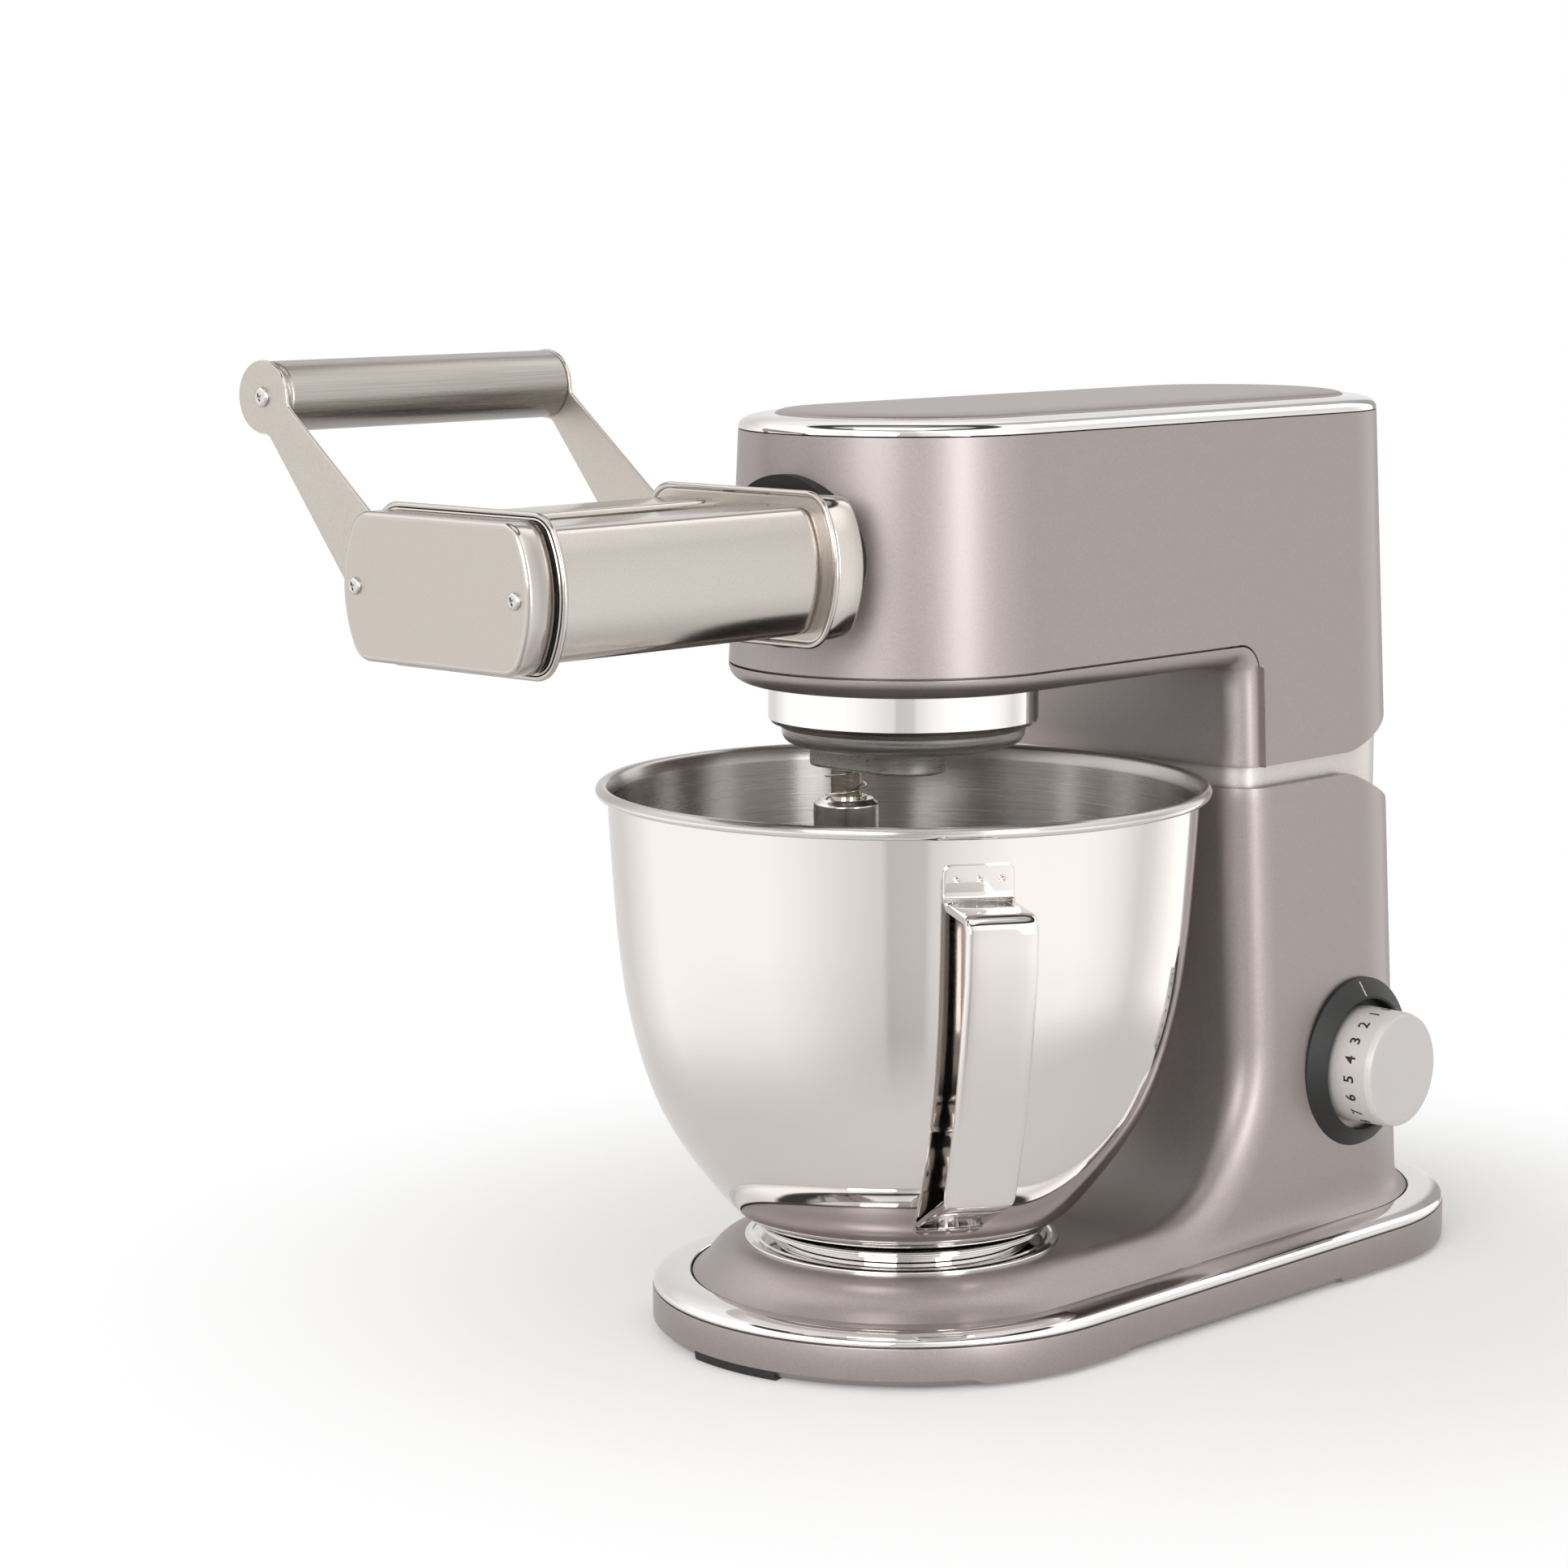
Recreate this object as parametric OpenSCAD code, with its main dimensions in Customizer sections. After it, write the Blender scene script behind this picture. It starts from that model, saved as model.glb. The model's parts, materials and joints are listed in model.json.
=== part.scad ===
// Stand mixer with a bowl and a pasta roller attachment on its front drive.
// Millimetres, +Z up. The origin is on the table, under the middle of the bowl.
// -Y is the front (the attachment's side), +X is the side with the speed knob.

/* [Stand] */
// Distance between the centres of the base's two round ends
span = 202; // [196:1:208]
// Outside radius of the base skirt
base_r = 98.7; // [97:0.1:101]
// Height of the skirt's lower edge above the table
skirt_lift = 1.5; // [1:0.1:2]
// Height of the skirt
skirt_h = 15.2; // [14:0.1:17]
// Width of the bright trim around the deck
trim_w = 15; // [13.5:0.1:16]
// Rise of the bright trim
trim_rise = 5.3; // [4:0.1:6]
// Height of the deck above the table
deck_top = 35; // [34:0.1:37]
// Wall of the castings and shells
wall = 3.2; // [2.8:0.1:3.6]
// Radius of the rubber feet
foot_r = 15; // [12:0.5:17]
// Thickness of the steel bottom plate
plate_t = 2; // [1.5:0.1:2.5]
// Radius of the base screws' shanks
screw_r = 2; // [1.5:0.1:2.4]

/* [Column and neck] */
// Y of the column's front face
col_front = 130; // [126:1:134]
// Radius of the column's upright front edges
col_edge_r = 16; // [12:1:20]
// Radius of the sweep from the column's front into the deck
sweep_r = 64; // [56:1:68]
// Height of the column's top edge
col_top = 205.5; // [203:0.5:208]
// Height of the bright neck band between column and head
neck_h = 8.5; // [7:0.5:10]
// Wall of the neck
neck_wall = 3; // [2.5:0.1:3.5]
// Fall of the column's rear edge, which makes room for the tilting head
col_fall = 18; // [15:0.5:19]
// Radius of the hinge pin
pin_r = 5; // [4:0.25:6]

/* [Head] */
// Radius of the head's round ends at its upper seam
head_r = 64; // [62:0.5:66]
// Sideways growth of the body for each millimetre further down
draft = 0.043; // [0.035:0.001:0.05]
// Height of the head from its underside to its upper seam
head_h = 104; // [101:1:107]
// Height of the bright trim above the upper seam
crown_h = 6; // [5:0.5:8]
// Inward step of the bright trim up to the cover
crown_w = 14; // [12:0.5:16]
// Rise of the top cover above its trim
cover_rise = 2; // [1.2:0.1:3]
// Height of the head's lower seam above its underside
seam_rise = 14.5; // [13:0.5:16]
// Height of the head's underside above the bowl
under_z = 250; // [248:0.5:252]
// Y of the seam down the head's leg
leg_seam = 139; // [137:1:141]
// Rise of the leg's rear edge, which makes room for the tilt
leg_rise = 18; // [15:0.5:20]

/* [Drive] */
// Height of the drive shaft above the head's underside
drive_rise = 57; // [55.5:0.5:58.5]
// Radius of the drive shaft
shaft_r = 5; // [4:0.25:6]
// Depth of the motor's axis below the drive shaft
motor_drop = 42; // [41:0.5:43]
// Radius of the motor's case
motor_r = 32; // [28:0.5:34]
// Radius of the black ring on the nose
nose_r = 32.5; // [30:0.5:34]
// Bore of the nose ring that takes an attachment's spigot
nose_bore_r = 20; // [18:0.5:22]
// Distance of the tool's axis from the bowl's axis
orbit_r = 30; // [28.5:0.5:31.5]
// Radius of the tool shaft
tool_r = 6.2; // [5.8:0.1:6.6]
// Reach of the tool shaft below the collar
tool_reach = 68.5; // [65:0.5:71]
// Radius of the bright collar under the head
hub_r = 52.6; // [52:0.1:53.5]
// Depth of the collar's lower edge below the head's underside
hub_drop = 9.5; // [9:0.1:10]

/* [Bowl] */
// Outside radius of the rolled rim
bowl_rim_r = 120; // [118:0.5:122]
// Radius of the roll along the rim
roll_r = 2.4; // [2:0.1:2.8]
// Height of the middle of the rim's roll
bowl_top = 214; // [211:0.5:216]
// Sheet thickness of the bowl
bowl_t = 1.2; // [1:0.1:1.5]
// Radius of the bowl's foot
bowl_foot_r = 51; // [49:0.5:53]
// Height of the bowl's foot
bowl_foot_h = 5.4; // [5:0.1:6]
// Radius of the bright socket plate
socket_r = 62.2; // [60.5:0.1:63.5]
// Width of the bowl's strap handle
strap_w = 27; // [24:0.5:30]
// Thickness of the strap
strap_t = 3; // [2.5:0.1:3.5]
// Reach of the strap's top corner from the bowl's axis
strap_top_r = 150; // [147:0.5:154]
// Reach of the strap's bottom corner from the bowl's axis
strap_low_r = 120; // [117:0.5:123]
// Direction of the handle, turned from the front towards the knob side
strap_turn = 55.5; // [45:0.5:65]

/* [Speed dial] */
// Distance of the dial's axis in front of the centre of the base's rear end
dial_shift = 1.5; // [0:0.5:4]
// Height of the dial's axis
dial_z = 84; // [80:0.5:88]
// Radius of the black dial ring
dial_r = 36; // [34:0.5:38]
// Radius of the knob
knob_r = 23.8; // [22:0.1:25]
// X of the knob's face
knob_face = 98.7; // [96:0.1:101]

/* [Pasta rollers] */
// Y of the outer flange's front face
outer_y = -229.4; // [-234:0.2:-226]
// Y of the inner flange's rear face
inner_y = -91; // [-93:0.2:-89]
// Thickness of the flange plates
flange_t = 1.5; // [1.2:0.1:2]
// Half width of the end covers
cover_hw = 48; // [46:0.5:49]
// Half height of the end covers
cover_hh = 26.4; // [25:0.2:28]
// Stand-out of the flanges beyond the covers
flange_out = 2.6; // [2:0.1:3]
// Depth of the outer end cover
cover_d = 12; // [11:0.5:13]
// Depth of the inner end cover
inner_cover_d = 14; // [12:0.5:14.5]
// Sheet thickness of the covers and cowls
sheet_t = 1; // [0.8:0.1:1.2]
// Inward step of the cowls from the covers' outline
cowl_in = 3; // [2:0.25:4]
// Width of the slots between the cowls
slot_w = 24; // [20:1:28]
// Radius of the rollers
roller_r = 16.5; // [15.5:0.1:16.7]
// Gap between the rollers, which is the thickness of the dough
dough_gap = 1; // [0.6:0.1:1.6]
// Radius of the rollers' journals
journal_r = 5; // [4:0.25:5.5]

/* [Lifting handle] */
// Distance of the cover screws from the middle
screw_x = 40.8; // [40:0.2:42]
// Length of the arms between the screw and the tube's axis
arm_len = 89.9; // [85:0.5:95]
// Angle of the arms above the horizontal
arm_angle = 44.8; // [40:0.5:50]
// Thickness of the arms
arm_t = 1.5; // [1.2:0.1:1.8]
// Radius of the arms' round eyes
eye_r = 13.3; // [12.5:0.1:14.5]
// Width of the arms beside the eyes
arm_neck_w = 15.3; // [12:0.5:18]
// Radius of the arms' lower ends
arm_end_r = 16; // [14:0.5:16.5]
// Radius of the handle tube
tube_r = 11.8; // [11:0.1:12.5]

/* [Fits] */
// Gap between pieces that move past each other
gap = 0.3; // [0.25:0.05:0.4]
// Radial clearance of a shaft in its bearing
run = 0.05; // [0.03:0.01:0.08]

/* [Hidden] */
$fn = 72;

taupe = [0.64, 0.60, 0.58];
chrome = [0.88, 0.88, 0.89];
silver = [0.78, 0.76, 0.74];
steel = [0.70, 0.69, 0.67];
black = [0.07, 0.07, 0.07];
dark = [0.25, 0.25, 0.26];
brass = [0.72, 0.60, 0.35];

// Levels of the head
head_seam = under_z + head_h;
under_seam = under_z + seam_rise;
drive_z = under_z + drive_rise;
motor_z = drive_z - motor_drop;
hub_z = under_z - hub_drop;
tool_end = hub_z - tool_reach;
// Levels of the stand
skirt_top = skirt_lift + skirt_h;
trim_top = skirt_top + trim_rise;
plate_z = skirt_lift + 1.5;
deck_r = base_r - trim_w - gap;
neck_top = col_top + neck_h;
leg_z = neck_top + gap;
// The head tilts about an axis halfway up the neck band
tilt_y = span - 4;
tilt_z = col_top + neck_h / 2;
lug_r = 9;
lug_x = 44;
lug_t = 8;

// Outside radius of the column and head at height z
function body_r(z) = head_r + (head_seam - z) * draft;
// Points of an arc in a plane
function arc(cx, cy, r, a0, a1, n = 16) =
    [for (i = [0:n]) let (a = a0 + (a1 - a0) * i / n) [cx + r * cos(a), cy + r * sin(a)]];
function mirrored(pts) = [for (i = [len(pts) - 1:-1:0]) [-pts[i][0], pts[i][1]]];
// Outline of a straight-sided toothed wheel: n teeth, one of them on the first axis
function wheel_pts(n, root, tip, w_root = 0.27, w_tip = 0.11, turn = 0) =
    [for (i = [0:n - 1], k = [[root, -w_root], [tip, -w_tip], [tip, w_tip], [root, w_root]])
        let (a = (i + k[1]) * 360 / n + turn) [k[0] * cos(a), k[0] * sin(a)]];
// Outline of two round ends joined by tangents, as a belt or a link has
function link_pts(r0, r1, d, n = 24) = let (a = acos((r0 - r1) / d))
    concat(arc(0, 0, r0, a, 360 - a, n), arc(d, 0, r1, -a, a, n));
// Outline of an end cover: bowed sides, flat top and bottom, rounded corners
function cover_pts(hw, hh, r) = let (cy = hh - r, cx = sqrt((hw - r) * (hw - r) - cy * cy),
    a = atan2(cy, cx))
    concat(arc(0, 0, hw, -a, a, 12), arc(cx, cy, r, a, 90, 6), arc(-cx, cy, r, 90, 180 - a, 6),
        arc(0, 0, hw, 180 - a, 180 + a, 12), arc(-cx, -cy, r, 180 + a, 270, 6),
        arc(cx, -cy, r, 270, 360 - a, 6));

// Two round ends on the Y axis joined by straight sides
module stadium(r, d = span) {
    circle(r);
    translate([0, d]) circle(r);
    translate([-r, 0]) square([2 * r, d]);
}
module slab(r, z0, z1, d = span) translate([0, 0, z0]) linear_extrude(z1 - z0) stadium(r, d);
// A solid whose side follows the profile of [radius, z] points all round the stadium
module loaf(profile, d = span) {
    low = profile[0][1];
    high = profile[len(profile) - 1][1];
    half = concat([[0, low]], profile, [[0, high]]);
    rotate([0, 0, 180]) rotate_extrude(angle = 180) polygon(half);
    translate([0, d, 0]) rotate_extrude(angle = 180) polygon(half);
    translate([0, d, 0]) rotate([90, 0, 0]) linear_extrude(d)
        polygon(concat(profile, mirrored(profile)));
}
// A YZ outline carried across the width
module across(pts, half_w = 120) translate([-half_w, 0, 0]) rotate([90, 0, 90])
    linear_extrude(2 * half_w) polygon(pts);
// A coil spring of round wire, standing on z = 0 by the middle of its first turn
module coil(r, wire_r, rise, turns, per = 16, sides = 6) {
    n = turns * per;
    pts = [for (i = [0:n], j = [0:sides - 1]) let (a = 360 * i / per, b = 360 * j / sides,
        q = r + wire_r * cos(b)) [q * cos(a), q * sin(a), rise * i / n + wire_r * sin(b)]];
    skin = [for (i = [0:n - 1], j = [0:sides - 1]) let (k = (j + 1) % sides)
        [i * sides + j, i * sides + k, (i + 1) * sides + k, (i + 1) * sides + j]];
    polyhedron(pts, concat(skin, [[for (j = [sides - 1:-1:0]) j]],
        [[for (j = [0:sides - 1]) n * sides + j]]), convexity = 9);
}
// Places a child drawn in the XY plane upright, so that it is extruded towards -Y from y
module upright(y, x = 0, z = 0) translate([x, y, z]) rotate([90, 0, 0]) children();
module rod_y(r, y0, y1, x = 0, z = drive_z) upright(y1, x, z) cylinder(h = y1 - y0, r = r);
module tube_y(r, r_in, y0, y1, x = 0, z = drive_z) difference() {
    rod_y(r, y0, y1, x, z);
    rod_y(r_in, y0 - 1, y1 + 1, x, z);
}
module rod_x(r, x0, x1, y, z) translate([x0, y, z]) rotate([0, 90, 0]) cylinder(h = x1 - x0, r = r);
module ring(r, r_in, z0, z1, x = 0, y = 0) translate([x, y, z0]) difference() {
    cylinder(h = z1 - z0, r = r);
    translate([0, 0, -1]) cylinder(h = z1 - z0 + 2, r = r_in);
}
// Removes an upright front edge of the column or leg, leaving a round of radius r
module edge_cut(y, r, side, inset = 0, low = 0, top = head_seam) {
    reach = 12;
    crease = 0.08;
    x = side * (body_r(0) - inset + crease);
    translate([x, y - crease, 0]) rotate([0, -side * atan(draft), 0])
        translate([-side * r, r, low]) difference() {
            translate([side > 0 ? 0 : -r - reach, -r - reach, 0])
                cube([r + reach, r + reach, top - low]);
            translate([0, 0, -1]) cylinder(h = top - low + 2, r = r);
        }
}

// ---- stand ----
seats = [for (x = [-1, 1], y = [-1, 1]) [x * 58, y > 0 ? span + 52 : -52]];
boss_x = body_r(deck_top) - wall - 2.5;
bosses = [for (x = [-1, 1], y = [-10, span / 2, span + 10]) [x * boss_x, y]];
pan_in = base_r - wall;
flange_in = deck_r - 5;

module base_pan() color(taupe) difference() {
    slab(base_r, skirt_lift, skirt_top);
    slab(pan_in, skirt_lift - 1, skirt_top - wall);
    slab(flange_in, skirt_top - wall - 1, skirt_top + 1);
    // The lower edge is relieved along the middle of each side
    translate([-base_r - 1, 38, skirt_lift - 1]) cube([2 * base_r + 2, span - 76, 3.2]);
}
module bottom_plate() color(dark) difference() {
    slab(pan_in - gap, plate_z, plate_z + plate_t);
    for (b = bosses) translate([b[0], b[1], plate_z - 1]) cylinder(h = plate_t + 2, r = screw_r + 0.2);
    // Vent holes
    for (x = [-1, 1], k = [1:3])
        translate([x * (pan_in - 22), span * k / 4, plate_z - 1]) cylinder(h = plate_t + 2, r = 2.5);
}
module feet() color(black) for (s = concat(seats, [[0, 0]])) translate([s[0], s[1], 0])
    rotate_extrude() polygon([[0, 0], [foot_r - 1, 0], [foot_r, 1], [foot_r, plate_z], [0, plate_z]]);
module base_screws() color(steel) for (b = bosses) translate([b[0], b[1], 0]) {
    translate([0, 0, plate_z - 1.2]) cylinder(h = 1.2, r = 2 * screw_r);
    translate([0, 0, plate_z - 0.1]) cylinder(h = plate_t + 8, r = screw_r);
}
trim_arc = [for (i = [0:8]) let (a = 90 * i / 8)
    [base_r - trim_w + trim_w * cos(a), skirt_top + trim_rise * sin(a)]];
module base_trim() color(chrome) difference() {
    loaf(trim_arc);
    slab(base_r - trim_w, skirt_top - 1, trim_top + 1);
}
deck_side = [[deck_r, skirt_top], [deck_r, trim_top - 0.5], [deck_r - 2, trim_top + 1.5],
    [deck_r - 5, trim_top + 3.2], [deck_r - 9, trim_top + 6.5], [deck_r - 13, deck_top - 2.2],
    [deck_r - 16, deck_top - 0.7], [deck_r - 19.5, deck_top]];
// Side view of the column: the front sweep, and the rear edge that falls away
sweep_y = col_front - sweep_r;
sweep_z = deck_top + sweep_r;
rear_y = span + body_r(col_top);
fall_len = rear_y - tilt_y;
fall_r = (fall_len * fall_len + col_fall * col_fall) / (2 * col_fall);
function column_side(in, top) = concat(
    [[sweep_y - 8, skirt_top - 1 - in], [sweep_y - 8, deck_top - in - 1.5]],
    arc(sweep_y, sweep_z, sweep_r + in, -84, 0, 15), [[col_front + in, top]]);
module column_form(in = 0) intersection() {
    loaf([[body_r(skirt_top + 1 - in) - in, skirt_top + 1 - in], [body_r(col_top + 5) - in, col_top + 5]]);
    difference() {
        across(concat(column_side(in, in > 0 ? col_top + 6 : col_top),
            in > 0 ? [[rear_y + 9, col_top + 6]] : arc(tilt_y, col_top - fall_r, fall_r, 90,
                90 - 1.08 * asin(fall_len / fall_r), 12),
            [[rear_y + 20, col_top - 2 * col_fall], [rear_y + 20, skirt_top - 1 - in]]));
        for (side = [-1, 1]) edge_cut(col_front + in, col_edge_r - in, side, in,
            sweep_z - sweep_r / 4);
    }
}
module pedestal() color(taupe) difference() {
    union() {
        difference() {
            union() {
                loaf(deck_side);
                column_form();
            }
            loaf([[deck_r - wall, skirt_top - 1], [deck_r - wall, trim_top - 1],
                [deck_r - wall - 9, deck_top - wall - 3], [deck_r - 22, deck_top - wall]]);
            column_form(wall);
        }
        // Guide cup of the release button, and bosses for the base screws
        button_turn() translate([0, 0, 1]) cylinder(h = spring_seat + gap + 1, r = button_r + 4);
        for (b = bosses) translate([b[0], b[1], plate_z + plate_t])
            cylinder(h = trim_top + (b[1] > sweep_y ? 12 : 1.5) - plate_z - plate_t, r = 5);
    }
    for (b = bosses) translate([b[0], b[1], plate_z]) cylinder(h = plate_t + 9, r = screw_r + 0.1);
    // Seat of the dial ring and opening behind the socket plate
    rod_x(dial_r + 0.1, body_r(dial_z) - 20, body_r(dial_z) + 10, dial_y, dial_z);
    translate([0, 0, deck_top - 10]) cylinder(h = 20, r = bowl_foot_r - 12);
    // Cord inlet and release button
    rod_y(inlet_r + 0.1, span + body_r(inlet_z) / 2, span + 2 * body_r(inlet_z), 0, inlet_z);
    button_turn() translate([0, 0, -5]) cylinder(h = spring_seat + gap + 5, r = button_r + gap);
    button_turn() cylinder(h = spring_seat + 5, r = button_stem_r + gap);
}
inlet_z = 50;
inlet_r = 7.9;
nut_r = 11;
socket_top = deck_top + 1;
lock_r = bowl_foot_r - 7;
module bowl_socket() color(chrome) {
    difference() {
        translate([0, 0, deck_top]) rotate_extrude() polygon([[0, 0], [socket_r, 0],
            [socket_r - 0.5, 0.8], [socket_r - 2, 1], [0, 1]]);
        translate([0, 0, deck_top - 1]) cylinder(h = 3, r = bowl_foot_r - 14);
    }
    // Locking collar that the bowl's foot turns on
    ring(lock_r, lock_r - 5, socket_top, socket_top + bowl_foot_h - 1.4);
    for (a = [30, 150, 270]) rotate([0, 0, a]) translate([lock_r - 1, -4, socket_top + 1.8])
        cube([2.6, 8, 2]);
}
// The neck is a tube that stands in the column and reaches into the head's leg
neck_in = wall + gap;
neck_low = col_top - 40;
neck_rear = neck_top + leg_rise + 4;
neck_step = col_top - 6;
neck_r = body_r(neck_rear) - neck_in;
neck_foot_r = body_r(col_top) - neck_in;
module neck_form(in, z0, z1) intersection() {
    loaf(concat(z0 < neck_step ? [[neck_foot_r - in, z0], [neck_foot_r - in, neck_step]] : [],
        [[neck_r - in, max(z0, neck_step)], [neck_r - in, z1]]));
    difference() {
        across([[col_front + neck_in + in, z0], [rear_y + 9, z0], [rear_y + 9, z1],
            [col_front + neck_in + in, z1]]);
        for (side = [-1, 1]) edge_cut(col_front + neck_in + in, col_edge_r - neck_in - in / 2, side,
            neck_in + in);
    }
}
module neck() color(silver) {
    difference() {
        neck_form(0, neck_low, neck_rear);
        neck_form(neck_wall, neck_low - 1, neck_rear + 1);
        // Top edge: level under the head, rising behind the hinge
        across([[0, neck_top], [tilt_y, neck_top], [rear_y, neck_rear], [rear_y + 20, neck_rear + 4],
            [rear_y + 20, neck_rear + 20], [0, neck_rear + 20]]);
    }
    // Hinge bridge with a pair of cheeks beside each of the head's lugs
    difference() {
        intersection() {
            neck_form(neck_wall - 0.2, tilt_z - 21, neck_top);
            union() {
                translate([-body_r(0), tilt_y - lug_r, tilt_z - 21])
                    cube([2 * body_r(0), 2 * lug_r, 21 - lug_r - 1]);
                for (x = [-1, 1], k = [-1, 1]) translate([x * lug_x + k * (lug_t / 2 + gap + 2) - 2,
                    tilt_y - lug_r, tilt_z - 15]) cube([4, 2 * lug_r, 15 + neck_h / 2 - 0.5]);
            }
        }
        rod_x(pin_r + 0.01, -80, 80, tilt_y, tilt_z);
    }
}
module hinge_pin() color(steel) for (x = [-1, 1])
    rod_x(pin_r, x * lug_x - lug_t / 2 - gap - 4, x * lug_x + lug_t / 2 + gap + 4, tilt_y, tilt_z);

// ---- speed dial ----
dial_y = span - dial_shift;
ring_base = body_r(dial_z) + 1;
ring_lip = ring_base + 4.6;
recess_r = knob_r + 3.6;
module dial_turn() translate([0, dial_y, dial_z]) rotate([0, 90, 0]) children();
module dial_ring() color(black) dial_turn() rotate_extrude() polygon([[4, ring_base - 10],
    [dial_r, ring_base - 10], [dial_r, ring_base], [recess_r + 1, ring_lip],
    [recess_r, ring_lip - 0.4], [recess_r, ring_lip - 6], [4, ring_lip - 6]]);
knob_base = ring_lip - 6 + gap;
stem_r = 3;
module speed_knob() color(silver) dial_turn() rotate_extrude() polygon(concat(
    [[0, knob_base - 14], [stem_r, knob_base - 14], [stem_r, knob_base], [knob_r, knob_base]],
    arc(knob_r - 2, knob_face - 2, 2, 0, 90, 6), [[0, knob_face]]));
module speed_switch() color(dark) difference() {
    translate([ring_base - 26, dial_y - 14, dial_z - 14]) cube([16, 28, 28]);
    rod_x(stem_r + run, ring_base - 40, ring_base, dial_y, dial_z);
}
module control_board() color([0.10, 0.30, 0.16]) {
    difference() {
        translate([-44, dial_y - 40, deck_top + 4]) cube([88, 70, 1.6]);
        for (x = [-38, 38], y = [-34, 24]) translate([x, dial_y + y, deck_top]) cylinder(h = 10, r = 1.6);
    }
    translate([-20, dial_y - 20, deck_top + 5.6]) cube([26, 30, 14]);
    translate([-44, dial_y + 14, deck_top + 5.6]) cube([14, 14, 22]);
    // Standoffs on the bottom plate
    for (x = [-38, 38], y = [-34, 24]) ring(4, 1.6, plate_z + plate_t, deck_top + 4, x, dial_y + y);
}
module cord_gland() color(black) {
    rear = span + body_r(inlet_z);
    rod_y(inlet_r, rear - wall - 1.3, rear + 1, 0, inlet_z);
    rod_y(nut_r, rear + 0.8, rear + 3.5, 0, inlet_z);
    difference() {
        rod_y(nut_r, rear - wall - 6, rear - wall - 1.2, 0, inlet_z);
        rod_y(4, rear - wall - 8, rear - wall - 4, 0, inlet_z);
    }
}

// ---- head release, on the side away from the knob ----
button_y = 168;
button_z = 150;
button_r = 10.5;
button_out = 3;
module button_turn() translate([-body_r(button_z), button_y, button_z]) rotate([0, 90, 0]) children();
module release_button() color(steel) button_turn() rotate_extrude() polygon([[0, -button_out],
    [button_r - 1, -button_out], [button_r, 1 - button_out], [button_r, button_back],
    [button_stem_r, button_back], [button_stem_r, spring_seat + 5], [0, spring_seat + 5]]);
button_stem_r = 4;
button_back = 7;
spring_seat = 21;
latch_wire_r = 0.7;
module latch_spring() color(steel) button_turn() translate([0, 0, button_back + gap + latch_wire_r])
    coil(6.4, latch_wire_r, spring_seat - button_back - gap - 2 * latch_wire_r, 4);

// ---- head ----
head_in = wall;
leg_rear = span + body_r(leg_z);
leg_len = leg_rear - tilt_y;
leg_arc_r = (leg_len * leg_len + leg_rise * leg_rise) / (2 * leg_rise);
corner_r = 12;
// Side view of what the shell covers: all above the lower seam, and the leg behind its seam
leg_edge = arc(tilt_y, leg_z + leg_arc_r, leg_arc_r, -90, -90 + 1.08 * asin(leg_len / leg_arc_r), 12);
shell_side = concat([[-90, under_seam], [leg_seam - corner_r, under_seam]],
    arc(leg_seam - corner_r, under_seam - corner_r, corner_r, 90, 0, 6),
    [[leg_seam, leg_z]], leg_edge, [[leg_rear + 20, leg_z + 2 * leg_rise],
    [leg_rear + 20, head_seam], [-90, head_seam]]);
module head_shell() color(taupe) difference() {
    intersection() {
        difference() {
            loaf([[body_r(leg_z), leg_z], [head_r, head_seam]]);
            loaf([[body_r(leg_z) - head_in + 0.05, leg_z - 1], [head_r - head_in, head_seam - wall]]);
            slab(head_r - head_in - 3, head_seam - wall - 1, head_seam + 1);
        }
        across(shell_side);
    }
    rod_y(nose_r + 0.1, -2 * head_r, -head_r / 2);
    for (x = [-1, 1], y = [30, 150]) translate([0, y, head_seam - 10]) rotate([0, x * 90, 0])
        translate([0, 0, 30]) cylinder(h = 5, r = 1);
}
leg_front = col_front - 2;
under_top = under_seam - 0.4;
// The underside's rounded lower edge, or its inner face
function under_edge(in) = [[body_r(under_z) - 12, under_z + in],
    [body_r(under_z) - 7 - in / 2, under_z + 0.8 + in], [body_r(under_z) - 3 - in, under_z + 3.6 + in],
    [body_r(under_z) - 0.9 - in, under_z + 8 + in],
    [body_r(under_top) - 0.1 - in, under_top + in / 2]];
module under_form(in) {
    intersection() {
        loaf(under_edge(in));
        translate([-90, -90, leg_z]) cube([180, 90 + leg_front + 2.5 * in, 90]);
    }
    intersection() {
        difference() {
            loaf([[body_r(leg_z - in) - in, leg_z - in], [body_r(under_top + in) - in, under_top + in]]);
            for (side = [-1, 1]) edge_cut(leg_front + in, 11 - in, side, in,
                leg_z - 20, under_z + in);
        }
        translate([-90, leg_front + in, leg_z - 9]) cube([180, 40, 90]);
    }
}
module head_underside() color(taupe) difference() {
    under_form(0);
    under_form(wall);
    // Seam with the shell
    across(concat([[leg_seam + 60, leg_z - 5], [leg_seam - 0.4, leg_z - 5]],
        arc(leg_seam - corner_r - 0.4, under_top - corner_r, corner_r, 0, 90, 6),
        [[leg_seam - corner_r - 0.4, under_top + 9], [leg_seam + 60, under_top + 9]]));
    translate([0, 0, under_z - 5]) cylinder(h = 20, r = hub_in + 0.1);
}
crown_arc = [for (i = [0:8]) let (a = 90 * i / 8)
    [head_r - crown_w + crown_w * cos(a), head_seam + 0.3 + (crown_h - 0.3) * sin(a)]];
crown_top = head_seam + crown_h;
module head_trim() color(chrome) difference() {
    union() {
        loaf(crown_arc);
        slab(head_r - head_in - 3.2, head_seam - 2, head_seam + 0.3);
    }
    slab(head_r - crown_w - 4, head_seam - 3, crown_top - 1.5);
    slab(head_r - crown_w, crown_top - 1.6, crown_top + 1);
}
cover_r = head_r - crown_w - 0.2;
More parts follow.
